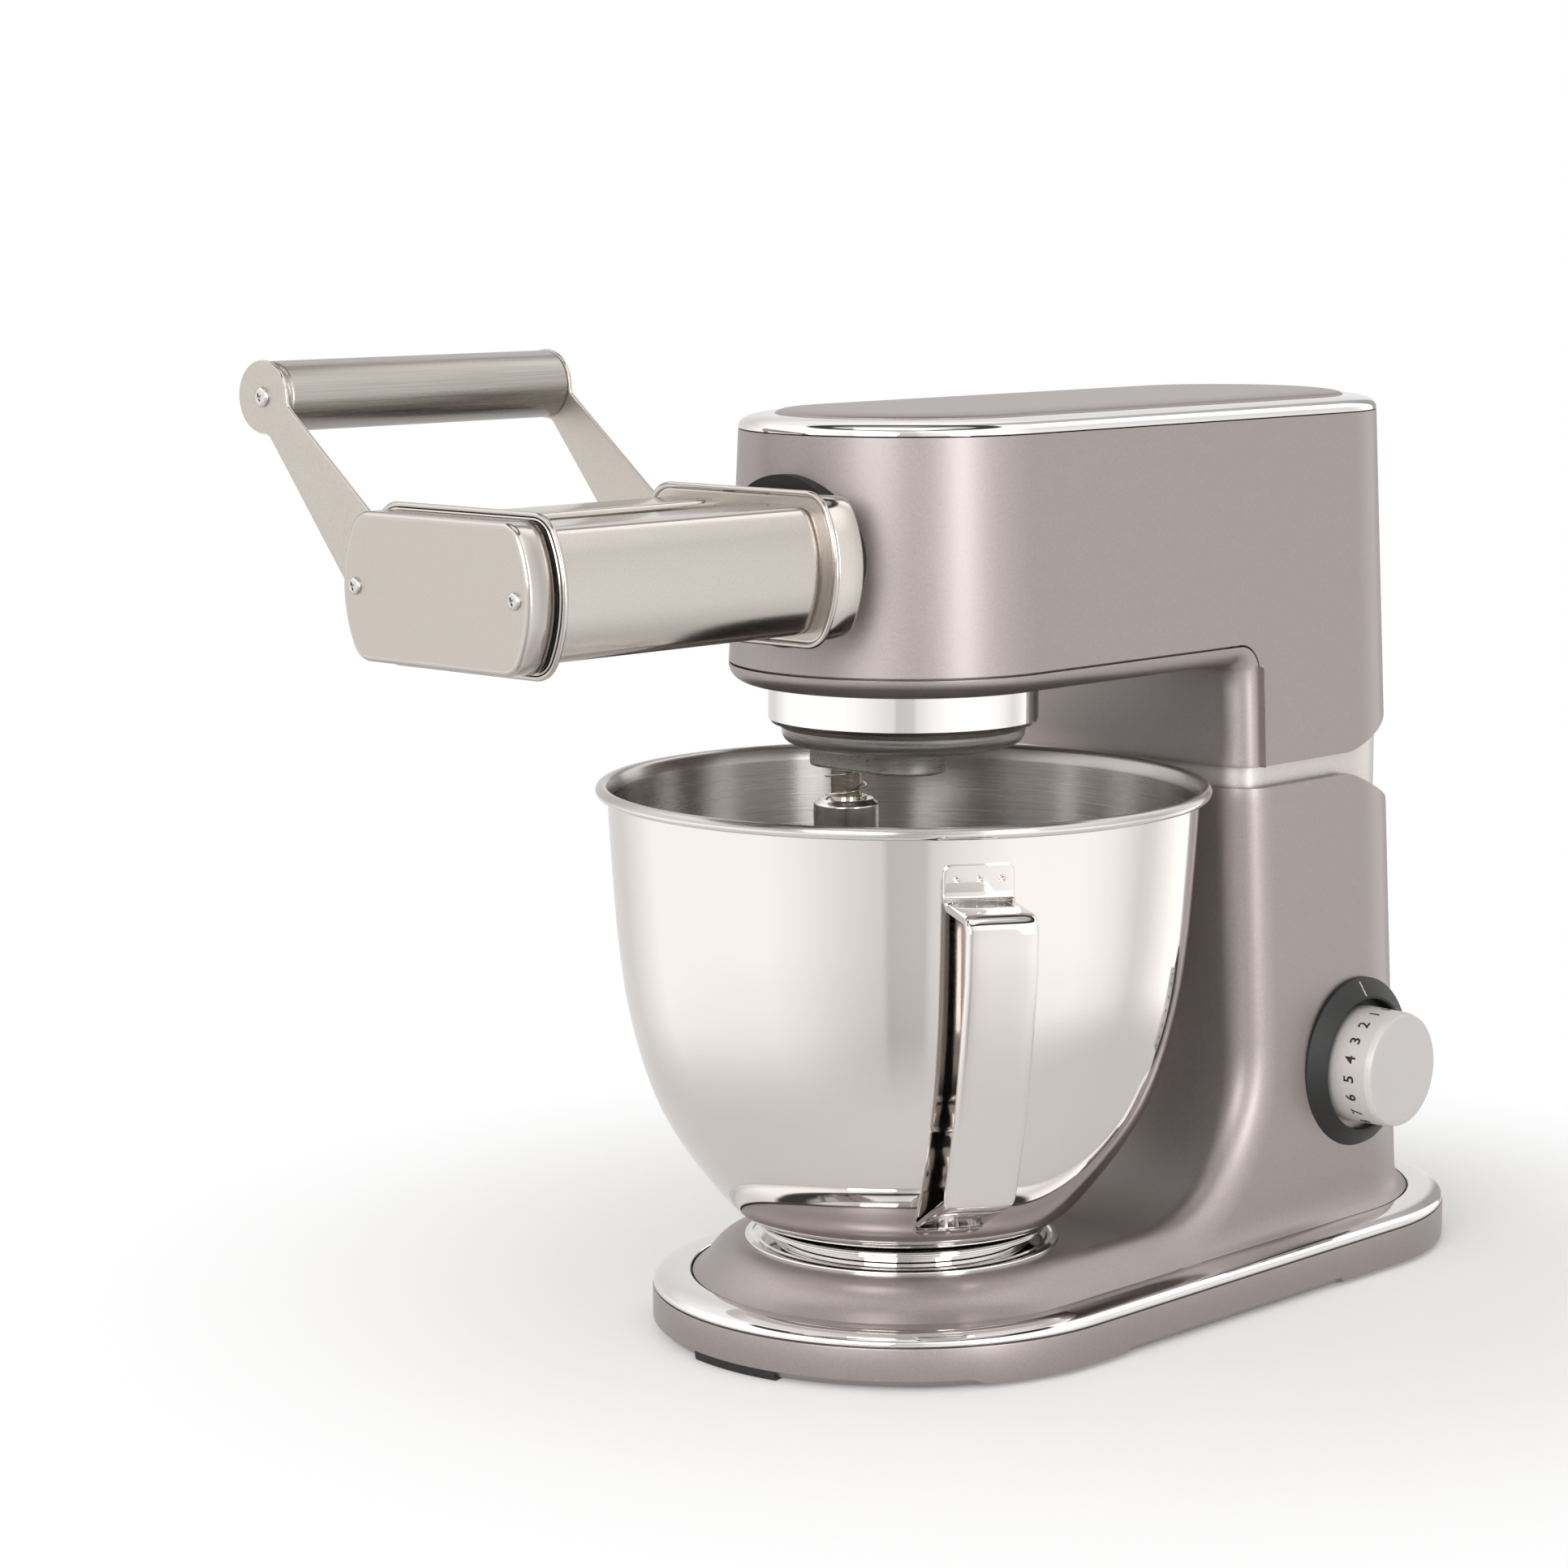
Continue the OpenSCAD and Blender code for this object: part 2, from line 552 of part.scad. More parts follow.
module head_cover() color(taupe) {
    loaf([[cover_r, crown_top - 1.6], [cover_r, crown_top], [cover_r - 1, crown_top + 0.8],
        [cover_r - 5, crown_top + cover_rise * 0.8], [cover_r - 12, crown_top + cover_rise]]);
    // Ribs that drop between the trim's inner edges
    difference() {
        slab(cover_r - 4.2, crown_top - 5, crown_top - 1.5);
        slab(cover_r - 6.2, crown_top - 6, crown_top - 1);
    }
}
frame_z = under_z + 12;
frame_t = 4;
bearing_r = 11;
bearing_w = 7;
front_wall = -46;
mid_wall = 62;
rear_wall = 96;
frame_r = body_r(frame_z + frame_t) - head_in - gap;
boss_top = frame_z + 20;
module frame_rib(y) translate([-22, y, frame_z]) cube([44, bearing_w, drive_z - frame_z + 18]);
module head_frame() color(dark) difference() {
    union() {
        intersection() {
            slab(frame_r, frame_z + 1, frame_z + 1 + frame_t);
            translate([-90, -90, frame_z]) cube([180, 90 + leg_seam - 10, 10]);
        }
        intersection() {
            slab(under_in_r, frame_z - 4, frame_z + 3);
            translate([-90, -90, frame_z - 4]) cube([180, 90 + leg_front - 12, 7]);
        }
        for (y = [front_wall, mid_wall, rear_wall]) frame_rib(y);
        translate([0, 0, frame_z]) cylinder(h = boss_top - frame_z, r = 18);
        // Side rails that carry the motor and run down to the hinge lugs
        for (x = [-1, 1]) translate([x * lug_x - lug_t / 2, leg_seam - 22, frame_z + 1])
            cube([lug_t, tilt_y - leg_seam + 22 + lug_r, 8]);
        for (x = [-1, 1]) {
            translate([x * lug_x - lug_t / 2, tilt_y - lug_r, tilt_z])
                cube([lug_t, 2 * lug_r, frame_z + 2 - tilt_z]);
            rod_x(lug_r, x * lug_x - lug_t / 2, x * lug_x + lug_t / 2, tilt_y, tilt_z);
        }
    }
    rod_x(pin_r + run, -90, 90, tilt_y, tilt_z);
    for (y = [front_wall, mid_wall, rear_wall]) rod_y(bearing_r, y - 1, y + bearing_w + 1);
    translate([0, 0, frame_z - 5]) cylinder(h = drive_z - frame_z + 15, r = planet_bore);
    translate([0, 0, frame_z - 5]) cylinder(h = 5, r = hub_in + 0.1);
    rod_y(motor_r + 0.2, motor_front - 20, motor_front + 120, 0, motor_z);
    // Slot for the belt and the motor's pulley
    translate([-small_r - 6, pulley_y - 3, frame_z - 9]) cube([2 * small_r + 12, pulley_w + 40, 40]);
}
under_in_r = body_r(under_z) - 12;
planet_bore = 13;
module nose_ring() color(black) {
    face = -body_r(drive_z) - 3;
    difference() {
        union() {
            rod_y(nose_r, face, face + 18);
            rod_y(nose_r + 4, face + 9, face + 12);
        }
        rod_y(nose_bore_r, face - 1, face + 20);
        difference() {
            rod_y(2 * nose_r, face + 8, face + 13);
            slab(body_r(drive_z + nose_r) - head_in - 0.4, drive_z - 70, drive_z + 70);
            rod_y(nose_r, face, face + 18);
        }
    }
}
hub_in = hub_r - 2.4;
module hub_collar() color(chrome) translate([0, 0, hub_z]) rotate_extrude() polygon([[hub_in, 0.6],
    [hub_in + 0.6, 0], [hub_r - 1.5, 0], [hub_r - 0.4, 0.5], [hub_r, 1.6], [hub_r, under_z - hub_z],
    [hub_in, under_z - hub_z]]);
ring_teeth = 36;
planet_teeth = 12;
mesh_z = hub_z + 3;
mesh_h = 8;
gear_m = 2 * orbit_r / (ring_teeth - planet_teeth);
ring_pitch = gear_m * ring_teeth / 2;
planet_pitch = gear_m * planet_teeth / 2;
module ring_gear() color(steel) difference() {
    translate([0, 0, mesh_z]) cylinder(h = frame_z - 4 - mesh_z, r = hub_in - 0.1);
    translate([0, 0, mesh_z - 1]) linear_extrude(mesh_h + 2)
        polygon(wheel_pts(ring_teeth, ring_pitch - 0.42 * gear_m, ring_pitch + 0.62 * gear_m, 0.36, 0.2));
    translate([0, 0, mesh_z + mesh_h]) cylinder(h = 40, r = ring_pitch + 0.7 * gear_m);
}
motor_front = 142;
motor_len = 84;
module motor_case() color(dark) {
    tube_y(motor_r, motor_r - 3, motor_front, motor_front + motor_len, 0, motor_z);
    tube_y(motor_r - 2.9, 4.5 + run, motor_front, motor_front + 4, 0, motor_z);
    tube_y(motor_r - 2.9, 4.5 + run, motor_front + motor_len - 4, motor_front + motor_len, 0, motor_z);
    tube_y(motor_r - 2.9, 21, motor_front + 14, motor_front + 62, 0, motor_z);
    // Ears that sit on the frame's side rails
    for (x = [-1, 1]) difference() {
        translate([x * 38 - 9.8, motor_front + 10, frame_z + 9]) cube([19.6, 44, 4]);
        rod_y(motor_r - 1, motor_front, motor_front + 80, 0, motor_z);
    }
}
module shaft_bearings() color(steel) for (y = [front_wall, mid_wall, rear_wall])
    tube_y(bearing_r, shaft_r + run, y, y + bearing_w);
module planet_bearing() color(steel) ring(planet_bore, planet_shaft_r + run, frame_z + 4, boss_top);
pulley_y = 114;
pulley_w = 12;
pulley_r = 28;
small_r = 8;
module drive_belt() color(black) upright(pulley_y + pulley_w - 2, 0, motor_z) rotate([0, 0, 90])
    linear_extrude(pulley_w - 4) difference() {
        polygon(link_pts(small_r + 2.2, pulley_r + 2.2, drive_z - motor_z, 36));
        polygon(link_pts(small_r + 0.35, pulley_r + 0.45, drive_z - motor_z, 36));
    }

// ---- motor rotor ----
module motor_rotor() color(brass) {
    rod_y(4.5, motor_front - 30, motor_front + motor_len - 1, 0, motor_z);
    rod_y(19, motor_front + 16, motor_front + 60, 0, motor_z);
    rod_y(9, motor_front + 60, motor_front + 68, 0, motor_z);
}
module cooling_fan() color(black) {
    tube_y(10, 4.5, motor_front + 69, motor_front + 77, 0, motor_z);
    tube_y(27, 9.9, motor_front + 76, motor_front + 77.5, 0, motor_z);
    for (k = [0:8]) upright(motor_front + 76.5, 0, motor_z) rotate([0, 0, 40 * k])
        translate([9.8, -0.75, 0]) cube([16, 1.5, 6]);
}
module pulley(r, y, x, z, bore) {
    tube_y(r, bore, y + 2, y + pulley_w - 2, x, z);
    tube_y(r + 2, bore, y, y + 1.8, x, z);
    tube_y(r + 2, bore, y + pulley_w - 1.8, y + pulley_w, x, z);
    tube_y(r - 1, bore, y + 1, y + pulley_w - 1, x, z);
}
module motor_pulley() color(steel) pulley(small_r, pulley_y, 0, motor_z, 4.5);

// ---- drive shaft ----
coupler_y = -body_r(drive_z) + 4;
hex_r = 5.8;
module drive_shaft() color(steel) rod_y(shaft_r, front_wall - 6, pulley_y + pulley_w + 4);
module drive_pulley() color(dark) pulley(pulley_r, pulley_y, 0, drive_z, shaft_r);
crown_teeth = 36;
pinion_teeth = 12;
crown_pitch = 30;
pinion_pitch = crown_pitch * pinion_teeth / crown_teeth;
module pinion() color(steel) difference() {
    union() {
        upright(crown_pitch + 2.8, 0, drive_z) linear_extrude(5.6)
            polygon(wheel_pts(pinion_teeth, pinion_pitch - 1.6, pinion_pitch + 1, 0.22, 0.1, 90));
        rod_y(8, crown_pitch + 2.8, crown_pitch + 12);
    }
    rod_y(shaft_r, crown_pitch - 9, crown_pitch + 20);
}
module drive_coupler() color(steel) difference() {
    rod_y(11, coupler_y, front_wall - 2);
    rod_y(shaft_r, front_wall - 6, front_wall);
    upright(front_wall - 6, 0, drive_z) cylinder(h = 40, r = hex_r + 0.35, $fn = 6);
}

// ---- planetary drive ----
planet_shaft_r = 6;
crown_z = drive_z - pinion_pitch;
module planet_shaft() color(steel) {
    translate([0, 0, hub_z - 2]) cylinder(h = crown_z - 3 - hub_z, r = planet_shaft_r);
}
module crown_gear() color(steel) {
    ring(crown_pitch + 4, planet_shaft_r, crown_z - 6.5, crown_z - 1.6);
    ring(12, planet_shaft_r, crown_z - 10.5, crown_z - 1.6);
    for (k = [0:crown_teeth - 1]) rotate([0, 0, (k + 0.5) * 360 / crown_teeth])
        translate([crown_pitch - 3, -0.9, crown_z - 1.7]) cube([6, 1.8, 2.6]);
}
// Stepped bright dish under the collar, with an off-centre lobe that carries the tool shaft
dish_top = hub_z - 0.3;
module planet_carrier() color(chrome) difference() {
    union() {
        translate([0, 0, dish_top]) rotate_extrude() polygon([[0, 0], [hub_in - 1.6, 0],
            [hub_in - 1.7, -2], [hub_in - 3.2, -5.4], [hub_in - 5.4, -8], [hub_in - 7.2, -9],
            [hub_in - 10, -9.7], [hub_in - 12.4, -10.6], [hub_in - 14.6, -11.8], [0, -11.8]]);
        translate([0, 0, dish_top - 18.7]) linear_extrude(7)
            polygon([for (p = link_pts(16.5, 14.5, orbit_r)) [-p[0], p[1]]]);
        translate([-orbit_r, 0, dish_top - 14]) cylinder(h = 15.5, r = 12);
    }
    translate([0, 0, dish_top - 2]) cylinder(h = 10, r = planet_shaft_r);
    translate([0, 0, -1]) translate([-orbit_r, 0, dish_top - 30]) cylinder(h = 60, r = tool_r + run);
}
spigot_h = 14;
module tool_shaft() color(steel) translate([-orbit_r, 0, 0]) {
    translate([0, 0, tool_end]) cylinder(h = spigot_h, r = tool_r - 0.2);
    translate([0, 0, tool_end + spigot_h]) cylinder(h = mesh_z + mesh_h - tool_end - spigot_h, r = tool_r);
    // Cross pin that a beater's slotted hub locks on
    translate([-9.5, 0, tool_end + 20]) rotate([0, 90, 0]) cylinder(h = 19, r = 1.6);
}
module planet_gear() color(steel) translate([-orbit_r, 0, mesh_z + 0.4]) difference() {
    linear_extrude(mesh_h - 0.6) polygon(wheel_pts(planet_teeth, planet_pitch - 0.55 * gear_m,
        planet_pitch + 0.36 * gear_m, 0.24, 0.13));
    translate([0, 0, -1]) cylinder(h = mesh_h + 2, r = tool_r);
}
lobe_z = dish_top - 18.7;
collar_top = tool_end + 38;
module tool_spring() color(steel) translate([-orbit_r, 0, 0]) {
    ring(9.4, tool_r + 0.2, lobe_z - 1.5, lobe_z - 0.3);
    translate([0, 0, collar_top + 1]) coil(8.2, 0.9, lobe_z - collar_top - 3.4, 3);
}
module tool_collar() color(steel) translate([-orbit_r, 0, 0]) difference() {
    translate([0, 0, collar_top - 22]) rotate_extrude() polygon([[0, 0], [12.5, 0], [13, 0.5],
        [13, 20.5], [11.5, 22], [0, 22]]);
    translate([0, 0, collar_top - 23]) cylinder(h = 30, r = tool_r + 0.05);
    translate([0, 0, collar_top - 23]) cylinder(h = 13, r = 10.2);
}

// ---- bowl ----
seat_z = socket_top + gap;
bowl_low = seat_z + bowl_foot_h;
bowl_wall_r = bowl_rim_r - 2 * roll_r + 0.6;
// Side of the bowl from its bottom edge to its rim: radius and height as shares of the whole
bowl_shape = [[0.490, 0], [0.560, 0.032], [0.640, 0.086], [0.735, 0.165], [0.820, 0.268],
    [0.885, 0.384], [0.930, 0.510], [0.958, 0.640], [0.974, 0.775], [0.988, 0.930], [0.998, 1]];
function bowl_side(in) = [for (p = bowl_shape)
    [p[0] * bowl_wall_r - in, bowl_low + in * (1 - p[1]) + p[1] * (bowl_top - bowl_low)]];
function bowl_out(z) = lookup(z, [for (p = bowl_side(0)) [p[1], p[0]]]);
module bowl() color(chrome) difference() {
    union() {
        rotate_extrude() polygon(concat([[0, bowl_low]], bowl_side(0), [[0, bowl_top]]));
        translate([0, 0, bowl_top]) rotate_extrude() translate([bowl_rim_r - roll_r, 0])
            circle(roll_r, $fn = 32);
    }
    rotate_extrude() polygon(concat([[0, bowl_low + bowl_t]], bowl_side(bowl_t),
        [[0.998 * bowl_wall_r - bowl_t, bowl_top + 9], [0, bowl_top + 9]]));
}
module bowl_foot() color(chrome) difference() {
    translate([0, 0, seat_z]) rotate_extrude() polygon([[bowl_foot_r - 3.5, 0], [bowl_foot_r, 0],
        [bowl_foot_r + 0.6, 1.5], [bowl_foot_r + 2.5, 3], [bowl_foot_r + 4.5, 3.6],
        [bowl_foot_r + 5.5, bowl_foot_h], [bowl_foot_r - 5, bowl_foot_h], [bowl_foot_r - 5, 4],
        [bowl_foot_r - 3.5, 3.6]]);
}
plate_low = 187;
plate_high = 202;
low_plate_z = 60;
strap_low_z = 80;
module bowl_handle() color(chrome) rotate([0, 0, strap_turn]) intersection() {
    outer = [[bowl_out(plate_high) + 1.4, plate_high], [bowl_out(plate_low) + 1.8, plate_low + 4],
        [bowl_out(plate_low) + 5, plate_low + 1.5],
        [strap_top_r - 4, plate_low + 1.5], [strap_top_r, plate_low - 2.5],
        [strap_low_r, strap_low_z], [strap_low_r - 4, strap_low_z - 4.5],
        [bowl_out(low_plate_z) + 8, low_plate_z - 2.5], [bowl_out(low_plate_z - 6) + 2, low_plate_z - 7]];
    inner = [[bowl_out(low_plate_z - 6) + 0.3, low_plate_z - 7], [bowl_out(low_plate_z) + 0.3, low_plate_z],
        [bowl_out(low_plate_z + 2) + 1.6, low_plate_z + 1.4],
        [strap_low_r - strap_t - 2, strap_low_z - 1.5], [strap_low_r - strap_t, strap_low_z + 1],
        [strap_top_r - strap_t, plate_low - 3], [strap_top_r - strap_t - 2, plate_low - 1.3],
        [bowl_out(plate_low) + 1.2, plate_low - 1.3],
        [bowl_out(plate_low + 2) + 0.3, plate_low + 2], [bowl_out(plate_high) + 0.3, plate_high]];
    translate([strap_w / 2, 0, 0]) rotate([90, 0, -90]) linear_extrude(strap_w) polygon(concat(outer, inner));
}

// ---- pasta rollers ----
axis_z = drive_z + 0.5;
roller_x = roller_r + dough_gap / 2;
far_flange = inner_y - flange_t;
cover_back = outer_y - arm_t - 2 * gap;
arm_gap_far = inner_y + arm_t + 2 * gap;
corner = 9;
module cover_form(in, y0, y1) upright(y1, 0, axis_z) linear_extrude(y1 - y0)
    polygon(cover_pts(cover_hw + in, cover_hh + in, corner + in));
module flange(y0, y1) color(steel) difference() {
    cover_form(flange_out, y0, y1);
    for (x = [-1, 1]) rod_y(journal_r + run, y0 - 1, y1 + 1, x * roller_x, axis_z);
    for (x = [-1, 1]) rod_y(screw_r + 0.1, y0 - 1, y1 + 1, x * screw_x, axis_z);
}
module outer_flange() flange(outer_y, outer_y + flange_t);
module inner_flange() flange(far_flange, inner_y);
module cover(y0, y1, open_y) color(steel) difference() {
    cover_form(0, y0, y1);
    cover_form(-sheet_t, y0 + (open_y > 0 ? sheet_t : -1), y1 - (open_y > 0 ? -1 : sheet_t));
    for (x = [-1, 1]) rod_y(screw_r + 0.1, y0 - 1, y1 + 1, x * screw_x, axis_z);
}
module outer_cover() cover(cover_back - cover_d, cover_back, 1);
spigot_r = nose_bore_r - gap;
module inner_cover() difference() {
    cover(arm_gap_far, arm_gap_far + inner_cover_d, -1);
    color(steel) rod_y(input_r + 2, arm_gap_far, arm_gap_far + inner_cover_d + 1);
}
module cowl(side) color(steel) difference() {
    cover_form(-cowl_in, outer_y + flange_t, far_flange);
    cover_form(-cowl_in - sheet_t, outer_y, inner_y);
    translate([side > 0 ? -2 * cover_hw : -slot_w / 2, outer_y - 1, axis_z - 2 * cover_hh])
        cube([2 * cover_hw + slot_w / 2, inner_y - outer_y + 2, 4 * cover_hh]);
}
// Folded lips that stand along the slot's edges
lip_top = cover_hh - cowl_in;
lip_low = roller_r + 2 * gap;
module lip(side) color(steel) for (z = [-1, 1])
    translate([side * slot_w / 2 - (side > 0 ? 0 : sheet_t), outer_y + flange_t,
        axis_z + (z > 0 ? lip_low : -lip_top)])
        cube([sheet_t, far_flange - outer_y - flange_t, lip_top - lip_low]);
module front_cowl() {
    cowl(1);
    lip(1);
}
module rear_cowl() {
    cowl(-1);
    lip(-1);
}
module cross_screw(r) difference() {
    sphere(r = r);
    translate([-9, -9, -19]) cube([18, 18, 19]);
    translate([0, 0, r + 0.2]) for (a = [0, 90]) rotate([0, 0, a]) cube([1.2 * r, 0.8, r], center = true);
}
module cover_screws() color(steel) for (x = [-1, 1]) {
    front = cover_back - cover_d;
    upright(front, x * screw_x, axis_z) intersection() {
        cross_screw(4.4);
        cylinder(h = 2.6, r = 4);
    }
    rod_y(screw_r, front, outer_y + flange_t + 3, x * screw_x, axis_z);
    rod_y(screw_r, far_flange - 3, arm_gap_far + inner_cover_d, x * screw_x, axis_z);
    rod_y(4, arm_gap_far + inner_cover_d, arm_gap_far + inner_cover_d + 1.8, x * screw_x, axis_z);
}
input_r = 4;
module spigot() color(black) {
    face = -body_r(drive_z) - 3;
    tube_y(nose_r - 5, input_r + 3, arm_gap_far + inner_cover_d, face - gap);
    tube_y(spigot_r, spigot_r - 3, face - gap - 0.1, face + 14);
    tube_y(spigot_r - 2.9, input_r + run, face - gap - 0.1, face + 2);
}
input_teeth = 10;
driven_teeth = 15;
input_m = 2 * roller_x / (input_teeth + driven_teeth);
module input_shaft() color(steel) {
    upright(coupler_y + 9, 0, drive_z) cylinder(h = 10, r = hex_r, $fn = 6);
    rod_y(input_r, inner_y + 3, coupler_y);
    upright(arm_gap_far + 8, 0, axis_z) translate([0, drive_z - axis_z, 0]) linear_extrude(6)
        polygon(wheel_pts(input_teeth, input_m * input_teeth / 2 - 0.75 * input_m,
            input_m * input_teeth / 2 + 0.45 * input_m, 0.22, 0.1));
}
pair_teeth = 17;
module roller(side) {
    rod_y(roller_r, outer_y + flange_t + gap, far_flange - gap, side * roller_x, axis_z);
    rod_y(journal_r, cover_back - cover_d + 2, arm_gap_far + 10, side * roller_x, axis_z);
    // Gear that pairs the rollers, in the outer cover
    upright(cover_back - 1.5, side * roller_x, axis_z) linear_extrude(7) polygon(wheel_pts(pair_teeth,
        roller_x - 1.5, roller_x + 0.9, 0.24, 0.11));
}
module drive_roller() color(steel) {
    roller(1);
    // Gear that meets the input pinion, in the inner cover
    upright(arm_gap_far + 8, roller_x, axis_z) linear_extrude(6) polygon(wheel_pts(driven_teeth,
        input_m * driven_teeth / 2 - 0.75 * input_m, input_m * driven_teeth / 2 + 0.45 * input_m, 0.22, 0.1));
}
module idle_roller() color(steel) roller(-1);

// ---- lifting handle ----
eye_x = -screw_x - arm_len * cos(arm_angle);
eye_z = axis_z + arm_len * sin(arm_angle);
module arm(y0, y1) upright(y1, -screw_x, axis_z) rotate([0, 0, 180 - arm_angle]) difference() {
    linear_extrude(y1 - y0) union() {
        circle(arm_end_r);
        translate([arm_len, 0]) circle(eye_r);
        polygon([[0, -arm_end_r], [arm_len - eye_r + 2, -arm_neck_w / 2], [arm_len, -arm_neck_w / 2],
            [arm_len, arm_neck_w / 2], [arm_len - eye_r + 2, arm_neck_w / 2], [0, arm_end_r]]);
    }
    translate([0, 0, -1]) cylinder(h = 9, r = screw_r + run);
    translate([arm_len, 0, -1]) cylinder(h = 9, r = screw_r);
}
module handle_arms() color(steel) {
    arm(outer_y - gap - arm_t, outer_y - gap);
    arm(inner_y + gap, inner_y + gap + arm_t);
}
tube_y0 = outer_y - gap;
tube_y1 = inner_y + gap;
module handle_tube() color(steel) {
    tube_y(tube_r, tube_r - 1.2, tube_y0, tube_y1, eye_x, eye_z);
    tube_y(tube_r - 1.1, screw_r, tube_y0, tube_y0 + 12, eye_x, eye_z);
    tube_y(tube_r - 1.1, screw_r, tube_y1 - 12, tube_y1, eye_x, eye_z);
}
module handle_screws() color(steel) {
    front = tube_y0 - arm_t;
    upright(front, eye_x, eye_z) intersection() {
        cross_screw(4.4);
        cylinder(h = 2.6, r = 4);
    }
    rod_y(screw_r, front - 0.1, tube_y0 + 11, eye_x, eye_z);
    rod_y(4, tube_y1 + arm_t, tube_y1 + arm_t + 1.8, eye_x, eye_z);
    rod_y(screw_r, tube_y1 - 11, tube_y1 + arm_t + 0.1, eye_x, eye_z);
}

base_pan();
bottom_plate();
feet();
base_screws();
base_trim();
pedestal();
bowl_socket();
neck();
hinge_pin();
dial_ring();
speed_switch();
control_board();
cord_gland();
latch_spring();
speed_knob();
release_button();
head_shell();
head_underside();
head_trim();
head_cover();
head_frame();
nose_ring();
hub_collar();
ring_gear();
motor_case();
shaft_bearings();
planet_bearing();
drive_belt();
motor_rotor();
cooling_fan();
motor_pulley();
drive_shaft();
drive_pulley();
pinion();
drive_coupler();
planet_shaft();
crown_gear();
planet_carrier();
tool_shaft();
planet_gear();
tool_spring();
tool_collar();
bowl();
bowl_foot();
bowl_handle();
outer_flange();
inner_flange();
outer_cover();
inner_cover();
front_cowl();
rear_cowl();
cover_screws();
spigot();
input_shaft();
drive_roller();
idle_roller();
handle_arms();
handle_tube();
handle_screws();
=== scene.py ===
import json
from math import acos, atan2, cos, degrees, exp, hypot, pi, radians, sin, sqrt, tan

import bmesh
import bpy
from mathutils import Matrix, Vector


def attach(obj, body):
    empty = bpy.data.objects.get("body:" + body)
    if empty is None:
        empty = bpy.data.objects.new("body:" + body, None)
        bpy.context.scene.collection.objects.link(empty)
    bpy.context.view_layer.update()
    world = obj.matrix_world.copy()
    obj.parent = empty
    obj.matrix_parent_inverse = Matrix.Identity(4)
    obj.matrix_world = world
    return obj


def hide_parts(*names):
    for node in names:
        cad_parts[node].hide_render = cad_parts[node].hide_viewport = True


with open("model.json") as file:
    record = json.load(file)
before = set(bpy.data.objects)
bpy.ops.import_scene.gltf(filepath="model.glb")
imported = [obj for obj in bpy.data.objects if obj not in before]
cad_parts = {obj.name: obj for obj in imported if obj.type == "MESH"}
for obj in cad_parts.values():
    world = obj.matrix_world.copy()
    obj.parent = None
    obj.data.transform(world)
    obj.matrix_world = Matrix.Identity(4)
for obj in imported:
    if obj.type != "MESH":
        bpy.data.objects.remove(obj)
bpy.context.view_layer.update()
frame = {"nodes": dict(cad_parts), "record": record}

# Lengths are in millimetres until a piece is made. +Z is up, -Y is the front, and +X is the
# side of the dial.
SPAN = 202.0        # between the centres of the two round ends of base and head
HEAD_SEAM = 354.0   # height of the seam under the bright ring on top
HEAD_R = 64.0       # radius of the head's ends at that seam
DRAFT = 0.043       # how much wider head and column grow for each millimetre further down
DECK = 35.0         # height of the deck that the bowl stands on


# ---- colours and nodes ----

def ink(code, alpha=1.0):
    """A colour written as six hexadecimal digits, turned to linear light."""
    parts = [int(code[i:i + 2], 16) / 255 for i in (0, 2, 4)]
    return [p / 12.92 if p <= 0.04045 else ((p + 0.055) / 1.055) ** 2.4 for p in parts] + [alpha]


def fill(tree, node, inputs):
    """Sets a node's inputs to values, or links them to the nodes that feed them."""
    for key, value in inputs.items():
        if isinstance(value, bpy.types.Node):
            value = value.outputs[0]
        if isinstance(value, bpy.types.NodeSocket):
            tree.links.new(value, node.inputs[key])
        else:
            node.inputs[key].default_value = value
    return node


def add(tree, kind, inputs=None, stops=(), **settings):
    """Adds one node with its settings, its inputs and, for a ramp, its (place, colour) stops."""
    node = tree.nodes.new("ShaderNode" + kind)
    for key, value in settings.items():
        setattr(node, key, value)
    while len(stops) > 2 and len(node.color_ramp.elements) < len(stops):
        node.color_ramp.elements.new(0.5)
    for k, (at, colour) in enumerate(stops):
        node.color_ramp.elements[k].position = at
        node.color_ramp.elements[k].color = colour
    return fill(tree, node, inputs or {})


def coat(name, colour):
    """A new material: itself, its tree, its main shader, and places on it in millimetres."""
    material = bpy.data.materials.new(name)
    material.use_nodes = True
    material.diffuse_color = ink(colour)
    tree = material.node_tree
    main = next(n for n in tree.nodes if n.type == "BSDF_PRINCIPLED")
    spot = add(tree, "TexCoord").outputs["Object"]
    place = add(tree, "VectorMath", {0: spot, "Scale": 1000.0}, operation="SCALE")
    return material, tree, main, place


def round_place(tree, place, centre=(0.0, 0.0), axis="Z"):
    """Place measured round an axis: turn as arc length at radius 100, distance out, height."""
    split = add(tree, "SeparateXYZ", {"Vector": place}).outputs
    names = {"Z": "XYZ", "Y": "XZY", "X": "YZX"}[axis]
    a = add(tree, "Math", {0: split[names[0]], 1: centre[0]}, operation="SUBTRACT")
    b = add(tree, "Math", {0: split[names[1]], 1: centre[1]}, operation="SUBTRACT")
    turn = add(tree, "Math", {0: b, 1: a}, operation="ARCTAN2")
    along = add(tree, "Math", {0: turn, 1: 100.0}, operation="MULTIPLY")
    flat = add(tree, "CombineXYZ", {"X": a, "Y": b})
    out = add(tree, "VectorMath", {0: flat}, operation="LENGTH").outputs["Value"]
    return add(tree, "CombineXYZ", {"X": along, "Y": out, "Z": split[names[2]]})


# ---- finishes ----

CLOUDS, FLAKES, RIBS = "TexNoise", "TexVoronoi", "TexWave"
METAL = {"Metallic": 1.0}
CLEAR_COAT = {"Coat Weight": 0.15, "Coat Roughness": 0.2}


